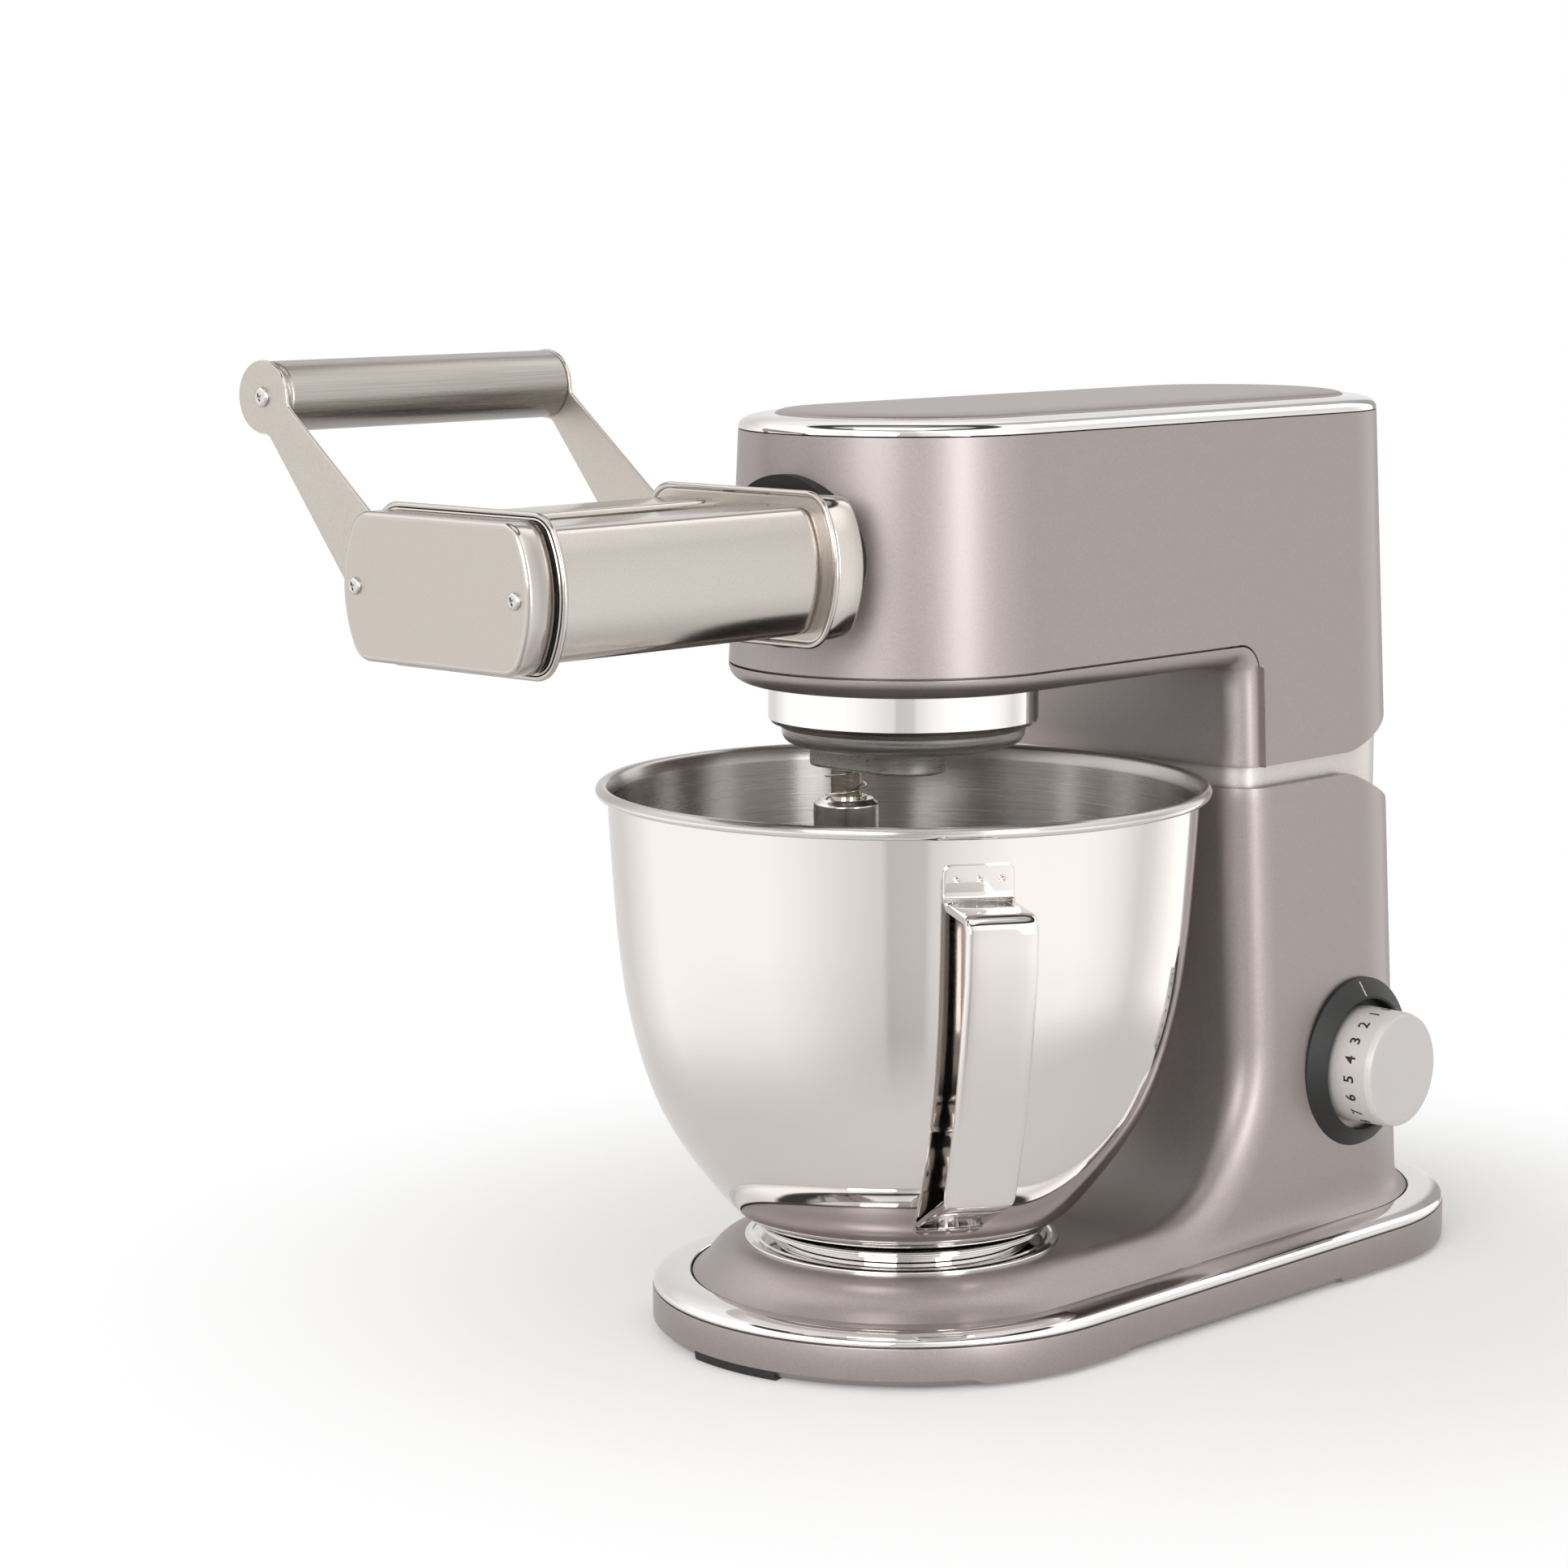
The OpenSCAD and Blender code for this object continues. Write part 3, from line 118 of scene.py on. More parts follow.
def finish(name, shade, grains, inputs, tones=None, shine=None, relief=None, axis=None,
           centre=(0.0, 0.0), brushed=None):
    """A material, named for the real one. Each grain is (pattern, how many to the millimetre,
    fineness) and, where it is drawn out, its scale along three axes. With an axis the grains
    run round it. tones is (grain, darker, lighter) and where in the grain they lie, shine is
    (grain, lowest roughness, highest), relief is (grain, height in metres), and brushed is
    the axis that fine lines run along or round."""
    material, tree, main, place = coat(name, shade)
    if axis:
        place = round_place(tree, place, centre, axis)
    drawn = []
    for pattern, scale, fineness, *stretch in grains:
        at = add(tree, "Mapping", {"Vector": place, "Scale": stretch}) if stretch else place
        if pattern == FLAKES:
            flake = add(tree, pattern, {"Vector": at, "Scale": scale}).outputs["Color"]
            drawn.append((add(tree, "SeparateColor", {"Color": flake}), 0.0, 1.0))
        elif pattern == RIBS:
            rib = add(tree, pattern, {"Vector": at, "Scale": scale, "Distortion": fineness},
                      bands_direction="Y")
            drawn.append((rib.outputs["Fac"], 0.2, 0.8))
        else:
            cloud = add(tree, pattern, {"Vector": at, "Scale": scale, "Detail": fineness})
            drawn.append((cloud, 0.3, 0.7))
    fill(tree, main, {"Base Color": ink(shade), **inputs})
    if tones:
        grain, low, high = drawn[tones[0]]
        low, high = tones[3:] or (low, high)
        stops = [(low, ink(tones[1])), (high, ink(tones[2]))]
        fill(tree, main, {"Base Color": add(tree, "ValToRGB", {"Fac": grain}, stops=stops)})
    if shine:
        grain, low, high = drawn[shine[0]]
        fill(tree, main, {"Roughness": add(tree, "MapRange", {
            "Value": grain, "From Min": low, "From Max": high,
            "To Min": shine[1], "To Max": shine[2]})})
    if relief:
        fill(tree, main, {"Normal": add(tree, "Bump", {
            "Height": drawn[relief[0]][0], "Distance": relief[1], "Strength": 1.0})})
    if brushed:
        way = add(tree, "Tangent", direction_type="RADIAL", axis=brushed)
        fill(tree, main, {"Tangent": way})
    return material


# Metallic lacquer sprayed on a die casting, under a satin clear coat: flakes that mirror the
# room softly, a fine glint, and the faint orange peel of a sprayed film. Flakes are some
# 0.05 mm in life, and drawn 0.5 mm wide so that they show.
GLINT, PEEL = (FLAKES, 2.0, None), (CLOUDS, 0.6, 2.0)
LACQUER = finish("taupe_metallic_lacquer", "A09796", [GLINT, PEEL],
                 {"Metallic": 0.75, **CLEAR_COAT},
                 tones=(0, "9C9392", "A49B9A"), shine=(0, 0.39, 0.45), relief=(1, 0.000003))

# Light silver lacquer on the hinge band: paler and a little smoother than the taupe one.
SILVER = finish("silver_metallic_lacquer", "D6D0CE", [GLINT, PEEL],
                {"Metallic": 0.6, "Roughness": 0.38, **CLEAR_COAT},
                tones=(0, "D2CBC9", "DAD5D3"), relief=(1, 0.000003))

# Chrome plate over polished copper and nickel: near mirror, a touch cold, with the long soft
# waves that polishing leaves.
CHROME = finish("polished_chrome", "E2E0DF", [(CLOUDS, 0.06, 2.0), (CLOUDS, 0.35, 4.0)], METAL,
                shine=(1, 0.025, 0.06), relief=(0, 0.000006))

# Deep drawn 18/10 steel, buffed to a mirror: clear reflections with soft, slow waves, and
# buffing lines round the axis that only just blur them.
MIRROR = finish("mirror_polished_steel", "D6D2CF",
                [(CLOUDS, 1.0, 1.0, 0.017, 0.045, 0.045), (CLOUDS, 1.0, 3.0, 0.017, 1.1, 1.1)],
                METAL, shine=(1, 0.03, 0.07), relief=(0, 0.000012), axis="Z")

# The inside of the bowl: steel brushed round and round, so that light draws out into bright
# fans across the fine lines. They are 0.1 mm wide in life, and drawn 0.4 mm wide to show.
BRUSHED = finish("brushed_bowl_steel", "CBC7C4", [(CLOUDS, 1.0, 2.0, 0.03, 2.5, 2.5)],
                 {"Anisotropic": 0.85, "Anisotropic Rotation": 0.25, **METAL},
                 tones=(0, "B2AEAB", "BCB8B5"), shine=(0, 0.22, 0.28), relief=(0, 0.0000008),
                 axis="Z", brushed="Z")

# Stainless sheet, finely ground and then polished over: it mirrors its surroundings clearly,
# through a faint grain, which is 0.1 mm wide in life and drawn 0.4 mm wide to show.
SATIN = finish("satin_stainless_sheet", "BFB9B5", [(CLOUDS, 2.5, 3.0)], METAL,
               tones=(0, "BBB5AF", "C4BEB8"), shine=(0, 0.1, 0.17), relief=(0, 0.0000008))

# The end covers and arms: bead blasted steel, dull and even, with a grain like fine sand. Its
# pits are 0.1 mm wide in life, and drawn 0.5 mm wide to show.
BLASTED = finish("bead_blasted_stainless", "B4AFAA", [(CLOUDS, 2.0, 3.0)], METAL,
                 tones=(0, "AFA9A2", "BCB6AF"), shine=(0, 0.38, 0.48), relief=(0, 0.00001))

# Seamless steel tube ground along its length: fine lines along it, light drawn across. They
# are 0.1 mm wide in life, and drawn 0.3 mm wide to show.
TUBE = finish("lengthwise_ground_tube", "A6A19C", [(CLOUDS, 1.0, 2.0, 3.2, 0.02, 3.2)],
              {"Anisotropic": 0.5, **METAL}, tones=(0, "9C9792", "B1ACA7"),
              shine=(0, 0.24, 0.34), relief=(0, 0.000006), brushed="Y")

# Folded and rolled edges of the sheet, polished bright after bending.
EDGE = finish("polished_sheet_edge", "B9B3AE", [(CLOUDS, 0.15, 2.0)], METAL,
              shine=(0, 0.14, 0.22), relief=(0, 0.00001))


def machined(name, shade, rough, axis="Y", centre=(0.0, 0.0)):
    """Turned or ground machine steel: rings of the tool round the axis, a thin film of oil."""
    return finish(name, shade, [(CLOUDS, 1.0, 3.0, 0.0125, 1.7, 1.7)], METAL,
                  shine=(0, rough * 0.8, rough * 1.3), relief=(0, 0.00001), axis=axis,
                  centre=centre)


GEAR = machined("machined_gear_steel", "A3A2A0", 0.3)
GROUND = machined("ground_steel", "C4C2BF", 0.2)
ROLLER = machined("ground_roller_steel", "CFCBC7", 0.16)

# Pressure die cast aluminium, left raw: grey, dull, with a fine grain and cloudy patches.
CAST = finish("raw_cast_aluminium", "8E8D8B", [(CLOUDS, 0.11, 4.0), (CLOUDS, 1.2, 3.0)],
              {"Roughness": 0.5, **METAL}, tones=(0, "858482", "989795"), relief=(1, 0.00004))

# Zinc plated steel sheet: dull silver with the pale, leafy patches of the zinc.
ZINC = finish("zinc_plated_sheet", "9A9B9B", [(FLAKES, 0.22, None)], METAL,
              tones=(0, "8D8F90", "A8A9A9"), shine=(0, 0.32, 0.5))

# Moulded black polymer, eroded to a fine dull grain.
BLACK = finish("moulded_black_polymer", "0F0E0E", [(CLOUDS, 1.7, 3.0)], {"IOR": 1.49},
               shine=(0, 0.46, 0.58), relief=(0, 0.00002))

# Satin plated knob: a pearly, even silver that softens whatever it mirrors.
KNOB = finish("satin_plated_knob", "E0DBD9", [(CLOUDS, 2.0, 3.0)], {"Metallic": 0.08},
              tones=(0, "E6E2E0", "EBE8E6"), shine=(0, 0.3, 0.38), relief=(0, 0.000003))

# Pad printed ink on the dial, slightly raised and semi-matt: dark numbers and a white line.
DARK_INK, WHITE_INK = (
    finish(name, shade, [(CLOUDS, 3.3, 2.0)], {"IOR": 1.5}, shine=(0, 0.4, 0.5))
    for name, shade in (("dark_dial_ink", "232120"), ("white_dial_ink", "ECEBE9")))

# Moulded synthetic rubber: matt, dark grey, with a trace of dust.
RUBBER = finish("moulded_foot_rubber", "232323", [(CLOUDS, 0.4, 4.0), (CLOUDS, 2.0, 2.0)],
                {"Roughness": 0.75, "IOR": 1.52}, tones=(0, "202020", "2E2D2C", 0.4, 0.8),
                relief=(1, 0.00003))

# Neoprene belt with a woven back: black, with fine ribs across it.
BELT = finish("neoprene_belt", "1B1B1C", [(RIBS, 0.5, 0.4)], {"Roughness": 0.68, "IOR": 1.52},
              relief=(0, 0.00005))

# Enamelled copper wire, wound tight: amber lacquer over copper, one ridge for each turn. Its colour is
# painted darker in the grooves between the turns and lighter on each ridge, as painted shade and
# painted light that follow the ridges.
COPPER = finish("enamelled_copper_winding", "A8683A", [(RIBS, 0.42, 0.6)],
                {"Metallic": 0.85, "Roughness": 0.3}, tones=(0, "8C522B", "B87445"),
                relief=(0, 0.00012))


def circuit_board():
    """Glass and epoxy board under green solder mask, with the faint tracks below it."""
    material, tree, main, place = coat("green_circuit_board", "1F5634")
    track = add(tree, "TexBrick", {"Vector": place, "Scale": 0.16, "Mortar Size": 0.03,
                                   "Color1": ink("1F5634"), "Color2": ink("1C4F30"),
                                   "Mortar": ink("2C6B42")})
    fill(tree, main, {"Base Color": track, "Roughness": 0.38, "IOR": 1.5})
    return material


BOARD = circuit_board()

FINISH_OF = {
    "taupe_lacquer": LACQUER, "bright_trim": CHROME, "silver_lacquer": SILVER,
    "bowl_steel": MIRROR, "socket_steel": CHROME, "brushed_sheet": SATIN,
    "brushed_tube": TUBE, "ground_steel": GROUND, "gear_steel": GEAR, "cast_alloy": CAST,
    "pressed_steel": ZINC, "black_plastic": BLACK, "knob_silver": KNOB,
    "foot_rubber": RUBBER, "belt_rubber": BELT, "winding_brass": COPPER,
    "green_board": BOARD,
}


# ---- shaping ----

class Form:
    """Points and faces of a piece while it is being shaped, in millimetres."""

    def __init__(self):
        self.points, self.faces, self.finishes = [], [], []

    def skin(self, rows, around=False, finish=0):
        """A skin over rows of equally many points. around joins each row's two ends."""
        start, n = len(self.points), len(rows[0])
        for row in rows:
            self.points += [tuple(p) for p in row]
        for i in range(len(rows) - 1):
            for j in range(n if around else n - 1):
                a, b = start + i * n + j, start + i * n + (j + 1) % n
                self.faces.append((a, b, b + n, a + n))
                self.finishes.append(finish)
        return self

    def face(self, row, finish=0):
        """One flat face."""
        start = len(self.points)
        self.points += [tuple(p) for p in row]
        self.faces.append(tuple(range(start, start + len(row))))
        self.finishes.append(finish)
        return self

    def join(self, other):
        """Adds another form."""
        start = len(self.points)
        self.points += other.points
        self.faces += [tuple(i + start for i in f) for f in other.faces]
        self.finishes += other.finishes
        return self

    def move(self, matrix):
        """Moves every point."""
        self.points = [tuple(matrix @ Vector(p)) for p in self.points]
        return self

    def mirror(self):
        """Adds the same form on the other side of the middle plane."""
        other = Form()
        other.points = [(-x, y, z) for x, y, z in self.points]
        other.faces, other.finishes = list(self.faces), list(self.finishes)
        return self.join(other)

    def cap(self, outline, finish=0, inset=1.2):
        """Closes an outline, given as a function of its inset, with a flat face."""
        rim, inner = outline(0.0), outline(inset)
        return self.skin([rim, inner], around=True, finish=finish).face(inner, finish)


def bar(rows):
    """A solid through closed rows of points, with flat ends."""
    return Form().skin(rows, around=True).face(rows[0]).face(rows[-1])


def piece(name, form, body, finishes, stands_for=(), crease=30, wall=0.0, edge=0.0,
          holes=(), true_normal=None):
    """Makes one piece of the object. wall gives a skin its thickness, inwards; edge rounds its
    rims; holes are forms cut out of it; true_normal gives the exact direction of its face."""
    mesh = bpy.data.meshes.new(name)
    mesh.from_pydata([(x / 1000, y / 1000, z / 1000) for x, y, z in form.points], [], form.faces)
    for polygon, number in zip(mesh.polygons, form.finishes):
        polygon.material_index = number
    tidy = bmesh.new()
    tidy.from_mesh(mesh)
    bmesh.ops.remove_doubles(tidy, verts=tidy.verts, dist=2e-6)
    bmesh.ops.dissolve_degenerate(tidy, edges=tidy.edges, dist=1e-6)
    bmesh.ops.recalc_face_normals(tidy, faces=tidy.faces)
    tidy.to_mesh(mesh)
    tidy.free()
    thing = bpy.data.objects.new(name, mesh)
    bpy.context.scene.collection.objects.link(thing)
    for coating in finishes if isinstance(finishes, list) else [finishes]:
        mesh.materials.append(coating)
    if wall:
        shell = thing.modifiers.new("wall", "SOLIDIFY")
        shell.thickness, shell.offset = wall / 1000, -1
    if edge:
        ease = thing.modifiers.new("eased edge", "BEVEL")
        ease.width, ease.segments = edge / 1000, 3
        ease.limit_method, ease.angle_limit = "ANGLE", radians(50)
    cutters = []
    for hole in holes:
        cutter = piece(name + "_hole", hole, None, finishes)
        cutters.append(cutter)
        cut = thing.modifiers.new("hole", "BOOLEAN")
        cut.object, cut.operation, cut.solver = cutter, "DIFFERENCE", "EXACT"
        cut.use_self = True
    if body is None:
        return thing
    if thing.modifiers:
        bpy.context.view_layer.update()
        ready = thing.evaluated_get(bpy.context.evaluated_depsgraph_get())
        thing.data = bpy.data.meshes.new_from_object(ready)
        thing.modifiers.clear()
        for cutter in cutters:
            bpy.data.objects.remove(cutter)
    mesh = thing.data
    mesh.name = name
    mesh.polygons.foreach_set("use_smooth", [True] * len(mesh.polygons))
    mesh.set_sharp_from_angle(angle=radians(crease))
    if true_normal:
        corners = [Vector(n.vector) for n in mesh.corner_normals]
        for polygon in mesh.polygons:
            for loop in polygon.loop_indices:
                spot = mesh.vertices[mesh.loops[loop].vertex_index].co * 1000
                exact = true_normal(spot)
                if exact is not None and exact.dot(polygon.normal) > 0.97:
                    corners[loop] = exact
        mesh.normals_split_custom_set(corners)
    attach(thing, body)
    if stands_for:
        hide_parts(*stands_for)
    return thing


def arc(cx, cy, r, start, end, n=12):
    """Points of an arc in a plane. Angles are in degrees."""
    turns = [radians(start + (end - start) * i / n) for i in range(n + 1)]
    return [(cx + r * cos(t), cy + r * sin(t)) for t in turns]


def share_of(value, start, end):
    """How far value has come from start to end, kept between 0 and 1."""
    return min(max((value - start) / (end - start), 0), 1)


def way_along(line, i):
    """The direction in which a line of points runs at its point i."""
    a, b = line[max(i - 1, 0)], line[min(i + 1, len(line) - 1)]
    return Vector((b[0] - a[0], b[1] - a[1])).normalized()


def rounded(corners, closed=False, n=6):
    """An outline through corners (x, y) or (x, y, radius), with those corners rounded."""
    outline = []
    for i, corner in enumerate(corners):
        at = Vector(corner[:2])
        if len(corner) < 3 or (not closed and i in (0, len(corners) - 1)):
            outline.append(tuple(at))
            continue
        back = (Vector(corners[i - 1][:2]) - at).normalized()
        on = (Vector(corners[(i + 1) % len(corners)][:2]) - at).normalized()
        half = back.angle(on) / 2
        centre = at + (back + on).normalized() * corner[2] / sin(half)
        a = at + back * corner[2] / tan(half) - centre
        b = at + on * corner[2] / tan(half) - centre
        turn = (atan2(b.y, b.x) - atan2(a.y, a.x) + pi) % (2 * pi) - pi
        for k in range(n + 1):
            t = atan2(a.y, a.x) + turn * k / n
            outline.append((centre.x + corner[2] * cos(t), centre.y + corner[2] * sin(t)))
    return outline


def smooth_line(points, n=6):
    """A smooth curve through points, with n steps between each two."""
    line = []
    for i in range(len(points) - 1):
        p0, p1 = points[max(i - 1, 0)], points[i]
        p2, p3 = points[i + 1], points[min(i + 2, len(points) - 1)]
        for k in range(n):
            t = k / n
            line.append(tuple(0.5 * (2 * b + (c - a) * t + (2 * a - 5 * b + 4 * c - d) * t * t
                                     + (3 * b - a - 3 * c + d) * t ** 3)
                              for a, b, c, d in zip(p0, p1, p2, p3)))
    return line + [tuple(points[-1])]


def turned(profile, n=144, closed=False, finish=0):
    """A form turned about the Z axis from a profile of (radius, height)."""
    rows = [[(x, y, z) for x, y in arc(0, 0, r, 0, 360, n)[:-1]] for r, z in profile]
    return Form().skin(rows + rows[:1] if closed else rows, around=True, finish=finish)


def shift(x, y, z):
    """A move by x, y, z."""
    return Matrix.Translation((x, y, z))


def swing(angle, axis):
    """A turn by that many degrees about an axis."""
    return Matrix.Rotation(radians(angle), 4, axis)


def about_x(x=0.0, y=0.0, z=0.0):
    """Lays what was turned about Z along +X."""
    return shift(x, y, z) @ swing(90, "Y")


def about_y(x=0.0, y=0.0, z=0.0):
    """Lays what was turned about Z along -Y."""
    return shift(x, y, z) @ swing(90, "X")


def body_r(z):
    """Half the width of head and column at height z."""
    return HEAD_R + (HEAD_SEAM - z) * DRAFT


def stations(extra=(), n=72):
    """Places round base or head: the centre's y, and the shares of the radius in x and y."""
    straight = sorted({0.0, 1.0, SPAN - 1, SPAN} | set(extra))
    half = [pi * i / n for i in range(1, n)]
    return ([(0.0, -cos(t), -sin(t)) for t in half] + [(y, 1.0, 0.0) for y in straight]
            + [(SPAN, cos(t), sin(t)) for t in half] + [(y, -1.0, 0.0) for y in straight[::-1]])


def hoop(places, r, z):
    """A row of points round base or head. z may depend on y."""
    row = []
    for cy, dx, dy in places:
        y = cy + r * dy
        row.append((r * dx, y, z(y) if callable(z) else z))
    return row


def long_ring(profile, places=None):
    """A closed ring round base or head with that profile of (radius, height)."""
    places = places or stations()
    return Form().skin([hoop(places, r, z) for r, z in list(profile) + [profile[0]]], around=True)


def fall(y, start, slope, ease):
    """How far an edge has dropped at y: level up to start, then eased into a slope."""
    past = max(y - start, 0.0)
    return slope * (hypot(past, ease) - ease)


def head_normal(spot):
    """The exact direction of the head's wall at a spot on its outside, or nothing inside it."""
    out = Vector((spot.x, spot.y - min(max(spot.y, 0.0), SPAN), 0.0))
    if out.length < HEAD_R - 9:
        return None
    out.normalize()
    return Vector((out.x, out.y, DRAFT)).normalized()


# ---- the stand ----

PAN_R, PAN_TOP = 98.7, 16.7
TRIM_W, TRIM_TOP = 15.0, 22.0
PADS = ((-51, 22), (160, 253))     # where along each side the skirt reaches the table


def skirt_low(y):
    """Lower edge of the skirt, which stands lower on two pads on each side."""
    pad = max(0.0, *(min((y - start) / 2, (end - y) / 2, 1) for start, end in PADS))
    return 3.6 - 2.0 * pad


def skirt():
    """The lacquered pan under the deck: a wall that is open below, with a folded upper edge."""
    places = stations((20, 22, 24, 158, 160, 162, 180))
    inner, step = PAN_R - 3.2, 78.4
    lip = [(PAN_R - 0.6, 0.0), (PAN_R - 0.15, 0.2), (PAN_R, 0.7)]
    fold = [(PAN_R, 0.9), (PAN_R - 0.2, 0.3), (PAN_R - 0.8, 0.1), (PAN_R - 1.4, 0.1),
            (PAN_R - 1.4, 0.4), (step, 0.4), (step, 3.2), (inner, 3.2)]
    ring = [hoop(places, inner, 1.1)]
    ring += [hoop(places, r, lambda y, up=up: skirt_low(y) + up) for r, up in lip]
    ring += [hoop(places, r, PAN_TOP - down) for r, down in fold]
    return Form().skin(ring + ring[:1], around=True)


def front_foot():
    """The rubber strip under the front of the skirt."""
    outline = rounded([(87.0, 0.0), (97.6, 0.0, 0.5), (98.0, 3.5), (87.0, 3.5)], n=5)
    turns = [radians(-12.5 + 25 * k / 24) for k in range(25)]
    return bar([[(r * sin(t), -r * cos(t), z) for r, z in outline] for t in turns])


def bow(inner, width, low, height, power=2.5):
    """Cross-section of a bright ring: steep at the outer edge, then rounding to nearly flat."""
    line = []
    for a in range(0, 88, 4):
        c, h = cos(radians(a)) ** (2 / power), sin(radians(a)) ** (2 / power)
        line.append((inner + width * c, low + height * h))
    return line


def deck_trim():
    """The bright ring round the deck."""
    r, low, foot = PAN_R - TRIM_W, PAN_TOP + 0.5, PAN_R - 1.8
    return long_ring(bow(r, TRIM_W - 0.3, low, TRIM_TOP - low)
                     + [(r + 0.3, TRIM_TOP - 0.05), (r, TRIM_TOP - 0.4), (r, low - 0.5),
                        (foot, low - 0.5), (foot, low)])


def round_cast(path, half_width, inset, depth, steps=10, n=72):
    """A casting whose face runs along path, (y, z, y share, z share of its depth), from a
    round front end, and whose long edge is rounded all the way. Returns its form and the
    rows across its edge along path."""
    form = Form()
    turns = [radians(90 - 90 * k / steps) for k in range(steps + 1)]

    def across(y, z, dy, dz, t, deep):
        sunk = deep * (1 - sin(t))
        y, z = y + dy * sunk, z + dz * sunk
        return half_width(z) - inset * (1 - 0.25 * abs(dz)) * (1 - cos(t)), y, z

    end = [across(*path[0], t, depth(0)) for t in turns]
    front = [[(r * c, r * s, z) for r, _, z in end] for c, s in arc(0, 0, 1, 180, 360, n)]
    form.skin(front)
    right = [[across(*place, t, depth(j)) for t in turns] for j, place in enumerate(path)]
    form.join(Form().skin(right).mirror())
    # The flat face between the two edges, and its round end
    form.skin([[(-x, y, z), (-x + 1, y, z), (x - 1, y, z), (x, y, z)]
               for x, y, z in (row[0] for row in right)])
    rim = [row[0] for row in front]
    inner = [(x * (1 - 1 / hypot(x, y)), y * (1 - 1 / hypot(x, y)), z) for x, y, z in rim]
    form.skin([rim, inner]).face(inner)
    return form, right


COLUMN_TOP = 205.5
COLUMN_EDGE = 16.0     # radius of its long edges
SWEEP_R, SWEEP_Y, SWEEP_Z = 64.0, 66.0, 99.0   # the curve from the deck up to the column
COLUMN_Y = SWEEP_Y + SWEEP_R                   # flat front of the column


def column_w(z):
    """Half width of the column and deck, which flare out to the bright ring."""
    return body_r(z) + 4.7 * exp(-max(0.0, z - 22) / 2.4)


def column_top(y):
    """Height of the column's top, which slopes down to the rear."""
    return COLUMN_TOP - fall(y, 197.5, 0.38, 3)


def column():
    """Deck and column in one casting, open below and above."""
    path = [(y, DECK, 0.0, -1.0) for y in (0, 1, 33, SWEEP_Y - 1)]
    for step in [2.5 * k for k in range(15)] + list(range(40, 91, 5)):
        a, b = sin(radians(step)), cos(radians(step))
        path.append((SWEEP_Y + SWEEP_R * a, SWEEP_Z - SWEEP_R * b, a, -b))
    path += [(COLUMN_Y, z, 1.0, 0.0) for z in (100, 130, 165, 185, 200, COLUMN_TOP)]
    form, edge = round_cast(path, column_w, COLUMN_EDGE, lambda j: COLUMN_EDGE)

    def settled(y, z, low=150.0):
        """Height at y of a line that would stand at z if the top were level."""
        if z <= low:
            return z
        return low + (z - low) * (column_top(y) - low) / (COLUMN_TOP - low)

    # Side wall behind the rounded edge, and the round rear
    wall = [row[-1] for row in edge if row[-1][1] > SWEEP_Y]
    side, rear = [], []
    for x, y, z in wall:
        behind = [(max(at, y), settled(at, z))
                  for at in (170, 197, 198, 199, 200.5, SPAN - 1, SPAN)]
        side.append([(x, y, z)] + [(column_w(high), at, high) for at, high in behind])
        row = []
        for c, s in arc(0, 0, 1, 0, 180, 72):
            high = settled(SPAN + column_w(z) * s, z)
            row.append((column_w(high) * c, SPAN + column_w(high) * s, high))
        rear.append(row)
    form.join(Form().skin(side).mirror()).skin(rear)
    # The foot of it, down inside the bright ring
    places = stations((33, SWEEP_Y - 1, SWEEP_Y, 170, 197, 198, 199, 200.5))
    return form.skin([hoop(places, column_w(z), z) for z in (wall[0][2], 17.0)], around=True)


def neck_band():
    """The light band that the head swings on: flat front, round rear, 3 mm wall."""
    def outline(inset):
        r, front, c = 65.6 - inset, 133.7 + inset, 12.6 - inset
        return (arc(r - c, front + c, c, 270, 360, 10) + [(r, 170), (r, SPAN - 1)]
                + arc(0, SPAN, r, 0, 180, 72) + [(-r, SPAN - 1), (-r, 170)]
                + arc(c - r, front + c, c, 180, 270, 10))

    rows = [[(x, y, 213.9 + max(0.0, y - 198) * 0.285 - down) for x, y in outline(inset)]
            for inset, down in ((0.0, 0.3), (0.3, 0.0), (2.7, 0.0), (3.0, 0.3))]
    rows += [[(x, y, 166.0) for x, y in outline(inset)] for inset in (3.0, 0.0)]
    return Form().skin(rows + rows[:1], around=True)


BUTTON_Y, BUTTON_Z, BUTTON_R = 168.0, 150.0, 10.5


def disc(r, z0, z1, n=64):
    """A plain turned blank, for cutting holes."""
    return turned([(0, z0), (r, z0), (r, z1), (0, z1)], n)


def button_way():
    """To the release button's opening in the far side of the column."""
    return about_x(-body_r(BUTTON_Z), BUTTON_Y, BUTTON_Z)


piece("skirt", skirt(), "stand", LACQUER, ["base_pan"])
piece("deck_ring", deck_trim(), "stand", CHROME, ["base_trim"], crease=40)
piece("front_foot_strip", front_foot(), "stand", RUBBER)
piece("neck_band", neck_band(), "stand", SILVER, ["neck"], crease=40)
piece("deck_and_column", column(), "stand", LACQUER, ["pedestal"], wall=3.2,
      edge=0.8, holes=[disc(BUTTON_R + 0.3, -9, 9).move(button_way())], crease=35)


# ---- the head ----

UNDER_Z = 256.0
SEAM_Z = 264.5       # seam between shell and underside
SEAM_Y, SEAM_CORNER = 139.0, 12.0   # the same seam down the leg, and its corner
LEG_Y, LEG_Z = 128.0, 214.3         # front and foot of the leg


def leg_low(y):
    """Height of the leg's foot, which slopes up to the rear."""
    return LEG_Z + fall(y, 198.5, 0.28, 4)


